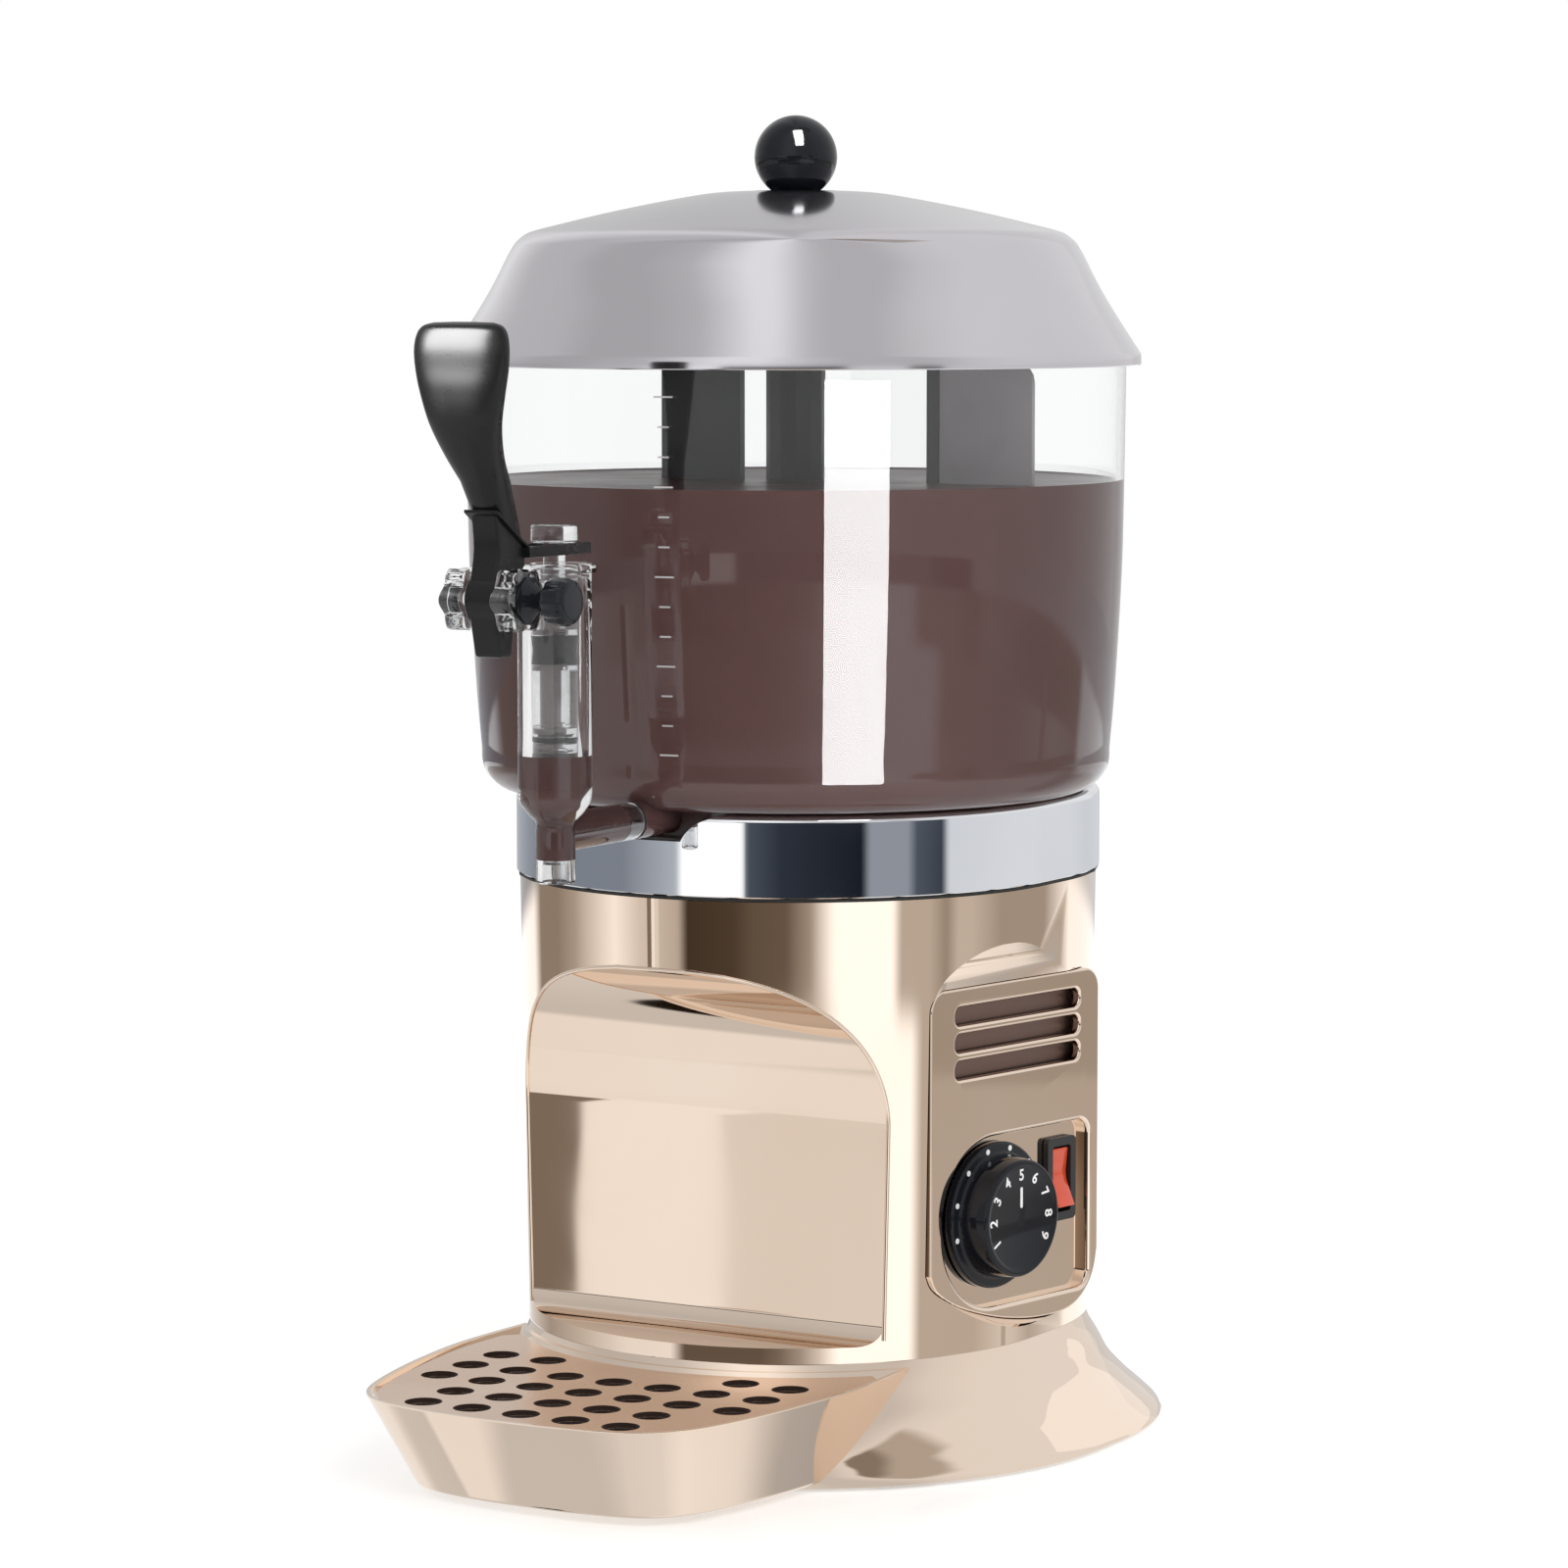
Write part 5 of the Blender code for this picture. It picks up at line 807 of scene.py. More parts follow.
def makeSwitch():
    seat = fit - panel["pocketDepth"]
    front = seat + switch["frameThick"]
    frameShape = prism("rockerFrame", [switchOutline(*switch["frame"])], seat, front)
    softenEdges(frameShape, switch["round"], 3)
    body = prism("switchBody", [switchOutline(*switch["body"])], seat - switch["bodyDepth"], seat + 0.001)
    window = prism("window", [switchOutline(*switch["window"])], front - switch["windowDepth"], passThrough)
    carve(fuse(frameShape, body), window)
    softenEdges(frameShape, switch["crisp"], 1)
    frameShape.data.transform(onPanel)
    dress(frameShape, mouldedBlack, "housing", ["rocker_frame"], flat=True)
    half, tip, dip, back = switch["length"] / 2, switch["tip"], switch["dip"], switch["back"]
    top = flowing([(-half, tip), (-half / 2, dip + switch["rise"]), (0, dip),
                   (half / 2, dip + switch["rise"]), (half, tip)], 6)
    share = switch["backShare"]
    outline = top[::-1] + [(-half, 0), (-half * share, -back), (half * share, -back), (half, 0)]
    halfWidth = switch["window"][0] / 2 - switch["play"]
    paddle = prism("rockerButton", [outline], -halfWidth, halfWidth, sideView)
    softenEdges(paddle, switch["round"], 3)
    paddle.data.transform(Matrix.Rotation(math.radians(-switch["tilt"]), 4, "X"))
    place = (switch["along"], switch["height"], front - switch["pivotDepth"])
    paddle.data.transform(Matrix.Translation(place))
    paddle.data.transform(onPanel)
    dress(paddle, redLens, "rocker", ["rocker"])


def makeDial():
    low = fit + dial["lift"] - panel["pocketDepth"]
    skirtTop = low + dial["skirtThick"]
    top = low + dial["tall"]
    edge, face, skirt = dial["edge"], dial["face"], dial["skirt"]
    faceLevel = top - edge / 2
    wall = face + dial["taper"]
    rim = [face * share for share in dial["rim"]]
    profile = [(0, faceLevel), (rim[0], faceLevel), (rim[1], top - edge / 3), (rim[2], top)]
    profile += roundOver(face, top, edge, 6) + [(wall, skirtTop + edge)]
    profile += arc((wall + edge, skirtTop + edge), edge, 180, 270, 5)
    profile += roundOver(skirt, skirtTop, edge, 6)
    socketTop = low + dial["socket"]
    profile += [(skirt, low), (dial["bore"], low), (dial["bore"], socketTop), (0, socketTop)]
    centre = Vector((dial["along"], dial["height"], 0))
    cap = lathe("dialKnob", profile, 96, centre)
    cap.data.transform(onPanel)
    dress(cap, glossBlack, "dial", ["dial"])

    def outwards(angle, distance):
        return centre + Vector((math.cos(angle), math.sin(angle), 0)) * distance

    marks = []
    for index, numeral in enumerate(dial["numerals"]):
        angle = math.radians(dial["firstNumeral"] - index * dial["numeralPitch"])
        text = bpy.data.curves.new("numeral", "FONT")
        text.body = numeral
        text.size = dial["numeralSize"]
        text.align_x = text.align_y = "CENTER"
        text.extrude = dial["print"]
        text.offset = dial["bold"]
        mesh = curveMesh("numeral", text)
        place = outwards(angle, dial["numeralRadius"]) + Vector((0, 0, faceLevel))
        mesh.transform(Matrix.Translation(place) @ Matrix.Rotation(angle - math.pi / 2, 4, "Z"))
        marks.append(addObject("numeral" + numeral, mesh))
        dot = outwards(angle - math.radians(dial["numeralPitch"] / 2), face + dial["dotGap"])
        outline = circle(dial["dot"], 16, (dot.x, dot.y))
        marks.append(prism("dot" + numeral, [outline], skirtTop - dial["sunk"], skirtTop + dial["print"]))
    start, end = (centre.y + reach for reach in dial["pointer"])
    half = dial["pointerHalf"]
    outline = roundedBox(centre.x - half, centre.x + half, start, end, (dial["pointerRound"],) * 4, 4)
    marks.append(prism("pointer", [outline], faceLevel - dial["sunk"], faceLevel + dial["pointerPrint"]))
    marking = joined("dialPrint", marks)
    marking.data.transform(onPanel)
    dress(marking, printWhite, "dial")


makePanel()
makeSwitch()
makeDial()
print("side panel and controls made")

# Chrome band with the notch for the tap's channel

band = {
    "low": 0.218, "top": 0.249, "radius": 0.109, "wall": 0.0025, "round": 0.0027, "crisp": 0.0004,
    "deck": 0.2455, "deckThick": 0.002, "deckEdge": 0.1006, "rim": 0.1035, "steps": 160,
    "notchFloor": 0.2385, "notchLow": 0.0125, "notchTop": 0.031, "notchInner": -0.088,
    "notchMiddle": ((0.10, 0.28), (0.34, 0.64), (0.72, 0.92)),
}


def notchTool():
    low, floor = band["notchLow"], band["notchFloor"]
    rise = band["top"] - floor
    spread = band["notchTop"] - low
    points = [(low + spread * out, floor + rise * up) for out, up in band["notchMiddle"]]
    points = [(low, floor)] + points + [(band["notchTop"], band["top"])]
    right = flowing(points, 5) + [(band["notchTop"] + 0.002, band["top"] + passThrough)]
    outer = band["radius"] + passThrough
    return prism("notch", [right + mirrored(right)], -band["notchInner"], outer, frontView)


def makeBand():
    radius, low, deck, crisp = band["radius"], band["low"], band["deck"], band["crisp"]
    inner, deckLow = radius - band["wall"], deck - band["deckThick"]
    outline = roundOver(radius, band["top"], band["round"], 8)
    outline += [(radius, low + crisp), (radius - crisp, low)]
    ring = stretched(lathe("chromeBand", outline + [
        (inner, low), (inner, deckLow), (band["deckEdge"], deckLow),
        (band["deckEdge"], deck), (band["rim"], deck), (band["rim"], band["top"]),
    ], band["steps"]))
    carve(ring, notchTool())
    dress(ring, chrome, "housing", ["collar"], 30)
    trueNormals(ring, outline[1:-1])


makeBand()
print("chrome band made")

# Clear bowl, its level marks and the chocolate

bowl = {
    "top": 0.4155, "topRadius": 0.128, "lowRadius": 0.1224, "low": 0.266, "wall": 0.003, "lip": 0.0006,
    "side": ((0.60, 0.87), (0.40, 0.71), (0.15, 0.33)), "corner": 0.0135, "shoulder": 0.2497,
    "well": 0.098, "wellLow": 0.2275, "wellCorner": 0.002, "column": 0.0085, "columnBore": 0.0055,
    "columnTop": 0.388, "outlet": 0.247, "outletRadius": 0.007, "outletBore": 0.0045,
    "outletShoulder": 0.1225, "spigot": 0.0057, "spigotLength": 0.010, "steps": 160,
}
drink = {
    "level": 0.3695, "overlap": 0.0003, "creep": 0.0006, "creepWidth": 0.003, "below": 0.001, "lean": 0.03,
    "outletRadius": 0.0047, "outletEnd": 0.1715, "outletGap": 0.001,
}
marks = {
    "azimuth": 7.5, "low": 0.272, "high": 0.404, "pitch": 0.0110, "long": 3.4, "short": 2.0, "longEvery": 3,
    "half": 0.00032, "thick": 0.00008, "proud": 0.0001,
}


def bowlSide(less=0.0):
    points = [(bowl["topRadius"], bowl["top"])]
    for up, out in bowl["side"]:
        points.append((bowl["lowRadius"] + (bowl["topRadius"] - bowl["lowRadius"]) * out,
                       bowl["low"] + (bowl["top"] - bowl["low"]) * up))
    points.append((bowl["lowRadius"], bowl["low"]))
    return [(radius - less, z) for radius, z in flowing(points, 5)]


def bowlWall(less=0.0):
    # the side and the round corner below it
    centre = (bowl["lowRadius"] - bowl["corner"], bowl["shoulder"] + bowl["corner"])
    return bowlSide(less) + arc(centre, bowl["corner"] - less, 0, -90, 12)


def makeBowl():
    wall, top, lip, well = bowl["wall"], bowl["top"], bowl["lip"], bowl["well"]
    low, corner, shoulder = bowl["wellLow"], bowl["wellCorner"], bowl["shoulder"]
    floor = low + wall
    profile = [(bowl["topRadius"] - lip, top), (bowl["topRadius"], top - lip)] + bowlWall()[1:]
    profile += [(well, shoulder), (well, low + corner), (well - corner, low), (bowl["columnBore"], low)]
    profile += [(bowl["columnBore"], bowl["columnTop"]), (bowl["column"], bowl["columnTop"])]
    profile += [(bowl["column"], floor), (well - wall - corner, floor), (well - wall, floor + corner)]
    profile += [(well - wall, shoulder + wall)] + bowlWall(wall)[::-1]
    shape = lathe("clearBowl", profile, bowl["steps"])
    start, step = well - wall / 2, bowl["outletShoulder"]
    end = step + bowl["spigotLength"]
    stub = [(0, end), (bowl["spigot"], end), (bowl["spigot"], step), (bowl["outletRadius"], step),
            (bowl["outletRadius"], start), (0, start)]
    place = (0, 0, bowl["outlet"])
    fuse(shape, lathe("stub", stub, 48, place, alongFront))
    carve(shape, cylinder(
        "outletBore", bowl["outletBore"], start - passThrough, end + passThrough, 40, place, alongFront
    ))
    dress(shape, clearBowl, "bowl", ["bowl"], 40)


def makeDrink():
    # the drink wets the clear wall, so its skin reaches a hair into the wall's own
    gap, level, creep = -drink["overlap"], drink["level"], drink["creep"]
    wall, well, corner = bowl["wall"], bowl["well"] - bowl["wall"], bowl["wellCorner"]
    floor, shoulder, column = bowl["wellLow"] + wall, bowl["shoulder"] + wall + gap, bowl["column"] + gap
    below = level - drink["below"]
    side = [(radius - gap, z) for radius, z in bowlWall(wall) if z < below]
    radius = side[0][0] + (level - side[0][1]) * drink["lean"]  # the wall leans out up to the level
    profile = [(column, level - creep / 2), (radius - drink["creepWidth"], level - creep / 2)]
    profile += [(radius - 2 * creep, level), (radius, level + creep), (radius, below)] + side[:-1]
    profile += [(bowl["lowRadius"] - bowl["corner"], shoulder), (well - gap, shoulder)]
    profile += [(well - gap, floor + corner), (well - corner, floor + gap), (column, floor + gap)]
    dress(lathe("chocolate", profile, bowl["steps"]), chocolate, "bowl")
    start, end = well - drink["outletGap"], drink["outletEnd"]
    filling = cylinder("chocolateInOutlet", drink["outletRadius"], start, end, 32, (0, 0, bowl["outlet"]),
                       alongFront)
    dress(filling, chocolate, "bowl")


def makeMarks():
    lines = []
    half = marks["half"]
    for index in range(int((marks["high"] - marks["low"]) / marks["pitch"]) + 1):
        z = marks["low"] + marks["pitch"] * index
        inner = next(r for r, h in bowlSide()[::-1] if h >= z) + marks["proud"]
        outer = inner + marks["thick"]
        wide = marks["short"] if index % marks["longEvery"] else marks["long"]
        rows = []
        for share in (0, 0.25, 0.5, 0.75, 1):
            angle = math.radians(marks["azimuth"] + wide * (share - 0.5))
            x, y = math.sin(angle), -math.cos(angle)
            corners = ((inner, z - half), (outer, z - half), (outer, z + half), (inner, z + half))
            rows.append([(x * r, y * r, h) for r, h in corners])
        lines.append(loft("mark", rows))
    dress(joined("levelMarks", lines), markGrey, "bowl")


makeBowl()
makeDrink()
makeMarks()
print("bowl made")

# Clear tap, its piston and the lever

tap = {
    "y": -0.175, "radius": 0.0135, "top": 0.345, "rimRadius": 0.0152, "rimHeight": 0.0035, "rimRound": 0.0008,
    "fillet": 0.0004, "bore": 0.0088, "taperTop": 0.262, "taper": ((-0.0006, 0.2583), (-0.0033, 0.2545)),
    "spoutTop": 0.2512, "spoutNeck": 0.248, "spoutRadius": 0.0072, "spoutBore": 0.005, "spoutLow": 0.2290,
    "crisp": 0.0006, "boreConeTop": 0.264, "boreConeLow": 0.258, "channelStart": 0.1245, "channelLap": 0.005,
    "earRadius": 0.0110, "earLobe": 0.0011, "earLobes": 6, "earInner": 0.0066, "earOuter": 0.0148,
    "earRound": 0.0012, "lobeSteps": 14, "armOuter": 0.0108, "armLow": 0.3275, "armHigh": 0.3405,
    "armRound": 0.0008, "drinkTop": 0.2755, "drinkLow": 0.2375, "drinkOverlap": 0.0002,
}
lever = {
    "pivotY": -0.216, "pivotZ": 0.334, "pin": 0.0025, "hub": 0.0093, "hubHalf": 0.0062, "crisp": 0.0006,
    "stemHalf": 0.0056, "stemFront": -0.2215, "stemRear": -0.2025, "stemRound": 0.0012, "seamFront": 0.365,
    "seamLip": 0.0016, "seamThick": 0.0012, "seamSlope": 0.65, "tailLow": 0.3135, "tailHalf": 0.0036,
    "forkThick": 0.0040, "forkWidth": 0.0035, "forkReach": 0.053, "forkBar": 0.006, "forkPlay": 0.0008,
    "sections": ((0.4318, -0.2352, 0.0040, 0.0250), (0.4307, -0.2376, 0.0075, 0.0322),
                 (0.4280, -0.2389, 0.0092, 0.0366), (0.4230, -0.2396, 0.0098, 0.0386),
                 (0.4160, -0.2397, 0.0102, 0.0378), (0.4070, -0.2397, 0.0110, 0.0340),
                 (0.3960, -0.2385, 0.0124, 0.0280), (0.3850, -0.2335, 0.0134, 0.0218),
                 (0.3760, -0.2275, 0.0150, 0.0170)),
    "crown": (0.35, 0.7, 0.9), "crownRise": 0.0004, "footWidth": 0.0136, "power": 0.74, "steps": 64,
    "capRadius": 0.0086, "flangeThick": 0.0018, "neck": 0.0036, "capInner": 0.0235, "capOuter": 0.034,
    "capRound": 0.0028, "capFoot": ((0.0, 0.003), (-0.0008, 0.0012)), "flutes": 12, "fluteDepth": 0.0005,
    "flangeEdge": ((-0.0012, 0.0), (0.0, -0.0004)), "cheek": 0.7, "cheekHeight": 0.6, "tailShift": 0.05,
}
piston = {
    "headRadius": 0.0085, "headLow": 0.3526, "headThick": 0.0064, "headRound": 0.001, "neck": 0.004,
    "upperTop": 0.3220, "upperLow": 0.3070, "radius": 0.0083, "stem": 0.0055, "lowerTop": 0.2860,
    "lowerLow": 0.2770, "nose": 0.0046, "noseLow": 0.236, "cupHeight": 0.0105, "cupInner": 0.0050,
    "cupWaist": 0.0006, "ringSection": 0.0009,
}
pivot = (0, lever["pivotY"], lever["pivotZ"])
tapCentre = (0, tap["y"], 0)


def pinHole(reach):
    return cylinder("pinHole", lever["pin"] + fit, -reach, reach, 32, pivot, alongX)


def makeEar(side):
    # a lobed ear and the arm that carries it
    steps = tap["earLobes"] * tap["lobeSteps"]
    outline = []
    for step in range(steps):
        angle = 2 * math.pi * step / steps
        radius = tap["earRadius"] + tap["earLobe"] * math.cos(tap["earLobes"] * angle)
        outline.append((pivot[1] + radius * math.cos(angle), pivot[2] + radius * math.sin(angle)))
    low, high = sorted((side * tap["earInner"], side * tap["earOuter"]))
    ear = softenEdges(prism("ear" + str(side), [outline], low, high, sideView), tap["earRound"], 3)
    low, high = sorted((side * (tap["earInner"] + fit), side * tap["armOuter"]))
    arm = bar("arm" + str(side), (low, lever["pivotY"], tap["armLow"]),
              (high, tap["y"] - tap["bore"], tap["armHigh"]), tap["armRound"])
    return [ear, arm]


def makeTap():
    radius, top, low, crisp, fillet = tap["radius"], tap["top"], tap["spoutLow"], tap["crisp"], tap["fillet"]
    rim, spout, spoutBore = top - tap["rimHeight"], tap["spoutRadius"], tap["spoutBore"]
    profile = [(0, top)] + roundOver(tap["rimRadius"], top, tap["rimRound"], 5)
    profile += [(tap["rimRadius"], rim + fillet), (radius + fillet, rim), (radius, rim - crisp)]
    taper = [(radius, tap["taperTop"])] + [(radius + out, z) for out, z in tap["taper"]]
    profile += flowing(taper + [(spout, tap["spoutTop"]), (spout, tap["spoutNeck"])], 5)
    profile += [(spout, low + crisp), (spout - crisp, low), (0, low)]
    body = lathe("clearTap", profile, 96, tapCentre)
    start, outlet = tap["channelStart"], (0, 0, bowl["outlet"])
    channel = cylinder("channel", bowl["outletRadius"], start, -tap["y"], 64, outlet, alongFront)
    fuse(body, channel, *makeEar(-1), *makeEar(1))
    bore = [(0, top + passThrough), (tap["bore"], top + passThrough), (tap["bore"], tap["boreConeTop"]),
            (spoutBore, tap["boreConeLow"]), (spoutBore, low - passThrough), (0, low - passThrough)]
    socketEnd = bowl["outletShoulder"] + bowl["spigotLength"] + fit
    socket, start = bowl["spigot"] + fit, start - tap["channelLap"]
    passage = [(0, -tap["y"]), (bowl["outletBore"], -tap["y"]), (bowl["outletBore"], socketEnd),
               (socket, socketEnd), (socket, start), (0, start)]
    carve(body, lathe("bore", bore, 72, tapCentre), lathe("passage", passage, 48, outlet, alongFront),
          pinHole(0.04))
    dress(body, clearTap, "bowl", ["tap_body"], 36)
    inner, spoutInner = tap["bore"] + tap["drinkOverlap"], spoutBore + tap["drinkOverlap"]
    profile = [(0, tap["drinkTop"]), (inner, tap["drinkTop"]), (inner, tap["boreConeTop"]),
               (spoutInner, tap["boreConeLow"]), (spoutInner, tap["drinkLow"]), (0, tap["drinkLow"])]
    dress(lathe("chocolateInTap", profile, 48, tapCentre), chocolate, "bowl")


def makePin():
    radius, inner, outer, end = lever["capRadius"], lever["capInner"], lever["capOuter"], tap["earOuter"]
    flange = end + fit
    neck = flange + lever["flangeThick"]
    profile = [(0, outer)] + roundOver(radius, outer, lever["capRound"], 8)
    profile += [(radius + out, inner + along) for out, along in lever["capFoot"]]
    profile += [(lever["neck"] * 1.5, inner), (lever["neck"], (inner + neck) / 2)]
    profile += [(radius + out, neck + along) for out, along in lever["flangeEdge"]]
    profile += [(radius, flange), (lever["pin"], flange), (lever["pin"], -end), (0, -end)]
    pin = lathe("pivotPin", profile, 96, pivot, alongX)
    for vert in pin.data.vertices:  # shallow grip flutes round the cap
        y, z = vert.co.y - pivot[1], vert.co.z - pivot[2]
        around = math.hypot(y, z)
        if inner < vert.co.x < outer - 0.001 and around > radius * 0.8:
            depth = lever["fluteDepth"] * (1 - math.cos(lever["flutes"] * math.atan2(z, y))) / 2
            factor = (around - depth) / around
            vert.co.y, vert.co.z = pivot[1] + y * factor, pivot[2] + z * factor
    dress(pin, glossBlack, "bowl", ["pivot_pin"])


def seamZ(y):
    return lever["seamFront"] - (y - lever["stemFront"]) * lever["seamSlope"]


def makeStem():
    pivotY, pivotZ, hub = lever["pivotY"], lever["pivotZ"], lever["hub"]
    stemFront, stemRear, stemHalf = lever["stemFront"], lever["stemRear"], lever["stemHalf"]
    cheek, cheekHeight = hub * lever["cheek"], hub * lever["cheekHeight"]
    front, rear, tail = pivotY - cheek, pivotY + cheek, pivotY + hub * lever["tailShift"]
    above, below = pivotZ + cheekHeight, pivotZ - cheekHeight
    outline = flowing([
        (stemFront, seamZ(stemFront)),
        (stemFront + stemHalf / 4, (lever["seamFront"] + pivotZ) / 2 + hub / 4),
        (front, above), (front, below), (tail - lever["tailHalf"], lever["tailLow"]),
    ], 4)
    outline += [(tail + lever["tailHalf"], lever["tailLow"]), (rear, below), (rear, above),
                (stemRear, tap["top"] + fit), (stemRear, seamZ(stemRear))]
    stem = prism("leverArm", [outline], -stemHalf, stemHalf, sideView)
    softenEdges(stem, lever["stemRound"], 3, 40)
    lipFront, lipRear = stemFront - lever["seamLip"], stemRear + lever["seamLip"] / 2
    lipOutline = [(lipFront, seamZ(lipFront)), (lipFront, seamZ(lipFront) - lever["seamThick"]),
                  (lipRear, seamZ(lipRear) - lever["seamThick"]), (lipRear, seamZ(lipRear))]
    lipHalf = stemHalf + lever["seamLip"]
    lip = softenEdges(prism("lip", [lipOutline], -lipHalf, lipHalf, sideView), 0.0003, 2)
    half, crisp = lever["hubHalf"], lever["crisp"]
    boss = [(0, half), (hub - crisp, half), (hub, half - crisp), (hub, -half + crisp), (hub - crisp, -half),
            (0, -half)]
    top = piston["headLow"] - fit
    low = top - lever["forkThick"]
    inner = piston["neck"] + lever["forkPlay"]
    outer = inner + lever["forkWidth"]
    start, deep = stemRear - lever["forkBar"] / 4, lever["forkBar"]
    tools = [lathe("hub", boss, 64, pivot, alongX), lip,
             bar("forkBar", (-outer, start, low), (outer, start + deep, top), crisp)]
    for side in (-1, 1):
        near, far = sorted((side * inner, side * outer))
        prong = (near, start + deep / 2, low), (far, pivotY + lever["forkReach"], top)
        tools.append(bar("prong" + str(side), *prong, crisp))
    fuse(stem, *tools)
    carve(stem, pinHole(0.03))
    dress(stem, leverBlack, "lever", ["lever_arm"], 30, flat=True)


def makePaddle():
    sections = lever["sections"]
    z, front, thick, width = sections[0]
    rings = []
    for share in lever["crown"]:
        rings.append(paddleRing(z + lever["crownRise"] * (1 - share), front + thick * (1 - share) / 2,
                                thick * share, width * share))
    rings += [paddleRing(*section) for section in flowing(sections, 5)]
    front = lever["stemFront"] - lever["crisp"]
    upper = paddleRing(*sections[-1])
    lower = paddleRing(None, front, lever["stemRear"] - front, lever["footWidth"])
    for share in (0.25, 0.5, 0.75, 1.0):
        rings.append([tuple(a + (b - a) * share for a, b in zip(*ends)) for ends in zip(upper, lower)])
    dress(loft("leverPaddle", rings), leverBlack, "lever", ["lever_paddle"], 50)


def paddleRing(z, front, thick, width):
    # a rounded section; without a height it follows the seam
    points = []
    for step in range(lever["steps"]):
        angle = 2 * math.pi * (step + 0.5) / lever["steps"]
        across, deep = math.cos(angle), math.sin(angle)
        x = math.copysign(abs(across) ** lever["power"], across) * width / 2
        y = math.copysign(abs(deep) ** lever["power"], deep) * thick / 2 + front + thick / 2
        points.append((x, y, seamZ(y) + fit if z is None else z))
    return points


def makePiston():
    radius, head, headLow, neck = piston["radius"], piston["headRadius"], piston["headLow"], piston["neck"]
    upperTop, upperLow, lowerTop = piston["upperTop"], piston["upperLow"], piston["lowerTop"]
    lowerLow, nose, noseLow = piston["lowerLow"], piston["nose"], piston["noseLow"]
    top = headLow + piston["headThick"]
    cupMiddle, ringMiddle = (upperTop + upperLow) / 2, (lowerTop + lowerLow) / 2
    half, cupInner, section = piston["cupHeight"] / 2, piston["cupInner"], piston["ringSection"]
    bore = tap["bore"] - fit
    ringRadius = bore - section
    profile = [(0, top)] + roundOver(head, top, piston["headRound"], 5)
    profile += [(head, headLow + fit), (head - fit, headLow), (neck, headLow), (neck, upperTop)]
    profile += [(radius, upperTop)] + sealGroove(cupMiddle, half + fit, cupInner - fit) + [(radius, upperLow)]
    profile += [(piston["stem"], upperLow), (piston["stem"], lowerTop), (radius, lowerTop)]
    profile += sealGroove(ringMiddle, section + fit, ringRadius - section - fit)
    profile += [(radius, lowerLow), (nose, lowerLow), (nose, noseLow), (0, noseLow)]
    dress(lathe("piston", profile, 64, tapCentre), clearTap, "piston", ["piston"], 36)
    cup = [(bore, cupMiddle + half), (bore - piston["cupWaist"], cupMiddle), (bore, cupMiddle - half),
           (cupInner, cupMiddle - half), (cupInner, cupMiddle + half)]
    dress(lathe("cupSeal", cup, 48, tapCentre), rubber, "piston", ["piston_cup_seal"])
    ring = arc((ringRadius, ringMiddle), section, 90, -270, 14)[:-1]
    dress(lathe("ringSeal", ring, 48, tapCentre), rubber, "piston", ["piston_ring_seal"])


def sealGroove(middle, half, floor):
    radius = piston["radius"]
    return [(radius, middle + half), (floor, middle + half), (floor, middle - half), (radius, middle - half)]


makeTap()
makePin()
makeStem()
makePaddle()
makePiston()
print("tap, piston and lever made")

# Lid, knob and rosette

lid = {
    "crown": ((0.0162, 0.4807), (0.0220, 0.48075), (0.0350, 0.4797), (0.0550, 0.4762), (0.0750, 0.4720),
              (0.0920, 0.4679), (0.1010, 0.4656), (0.1045, 0.4642), (0.1080, 0.4614), (0.1100, 0.4585),
              (0.1122, 0.4545), (0.1150, 0.4488), (0.1190, 0.4414), (0.1235, 0.4340), (0.1290, 0.4254),
              (0.1326, 0.4199), (0.1335, 0.4184), (0.13375, 0.4168)),
    # the inside follows these corners, one wall further in
    "corners": ((0.0350, 0.4800), (0.0750, 0.4720), (0.1040, 0.4648), (0.1082, 0.4618), (0.1112, 0.4570),
                (0.1150, 0.4490), (0.1235, 0.4340)),
    "flare": 0.1332, "wall": 0.0018, "rim": 0.4140, "rimPlay": 0.0005, "crisp": 0.0004, "ledgeThick": 0.0022,
    "ledgeInner": 0.1225, "steps": 180, "dish": 0.0052, "dishFloor": 0.0130, "hole": 0.0025,
}
knob = {
    "radius": 0.016, "centre": 0.494, "neck": 0.0062, "screwHole": 0.0023, "screwDepth": 0.010,
    "rosetteThick": 0.0014, "steps": 48,
}


def makeLid():
    wall, rim, crisp, hole, floor = lid["wall"], lid["rim"], lid["crisp"], lid["hole"], lid["dishFloor"]
    ledgeInner = lid["ledgeInner"]
    outer = flowing(lid["crown"], 5)
    skirt = outer[-1][0]
    rimInner = bowl["topRadius"] + lid["rimPlay"]
    ledgeLow = bowl["top"] + fit
    ledgeTop = ledgeLow + lid["ledgeThick"]
    inner = [(radius - wall * 0.8, z - wall) for radius, z in lid["corners"]]
    inner.append((lid["flare"] - wall * 2, ledgeTop + wall))
    dishZ = lid["crown"][0][1] - lid["dish"]
    profile = [(hole, dishZ), (floor, dishZ)] + outer + [(skirt, rim + crisp), (skirt - crisp, rim)]
    profile += [(rimInner, rim), (rimInner, ledgeLow), (ledgeInner, ledgeLow), (ledgeInner, ledgeTop)]
    profile += inner[::-1] + [(floor + wall, dishZ - wall), (hole, dishZ - wall)]
    dress(lathe("lidShell", profile, lid["steps"]), lidSilver, "lid", ["lid"], 34)


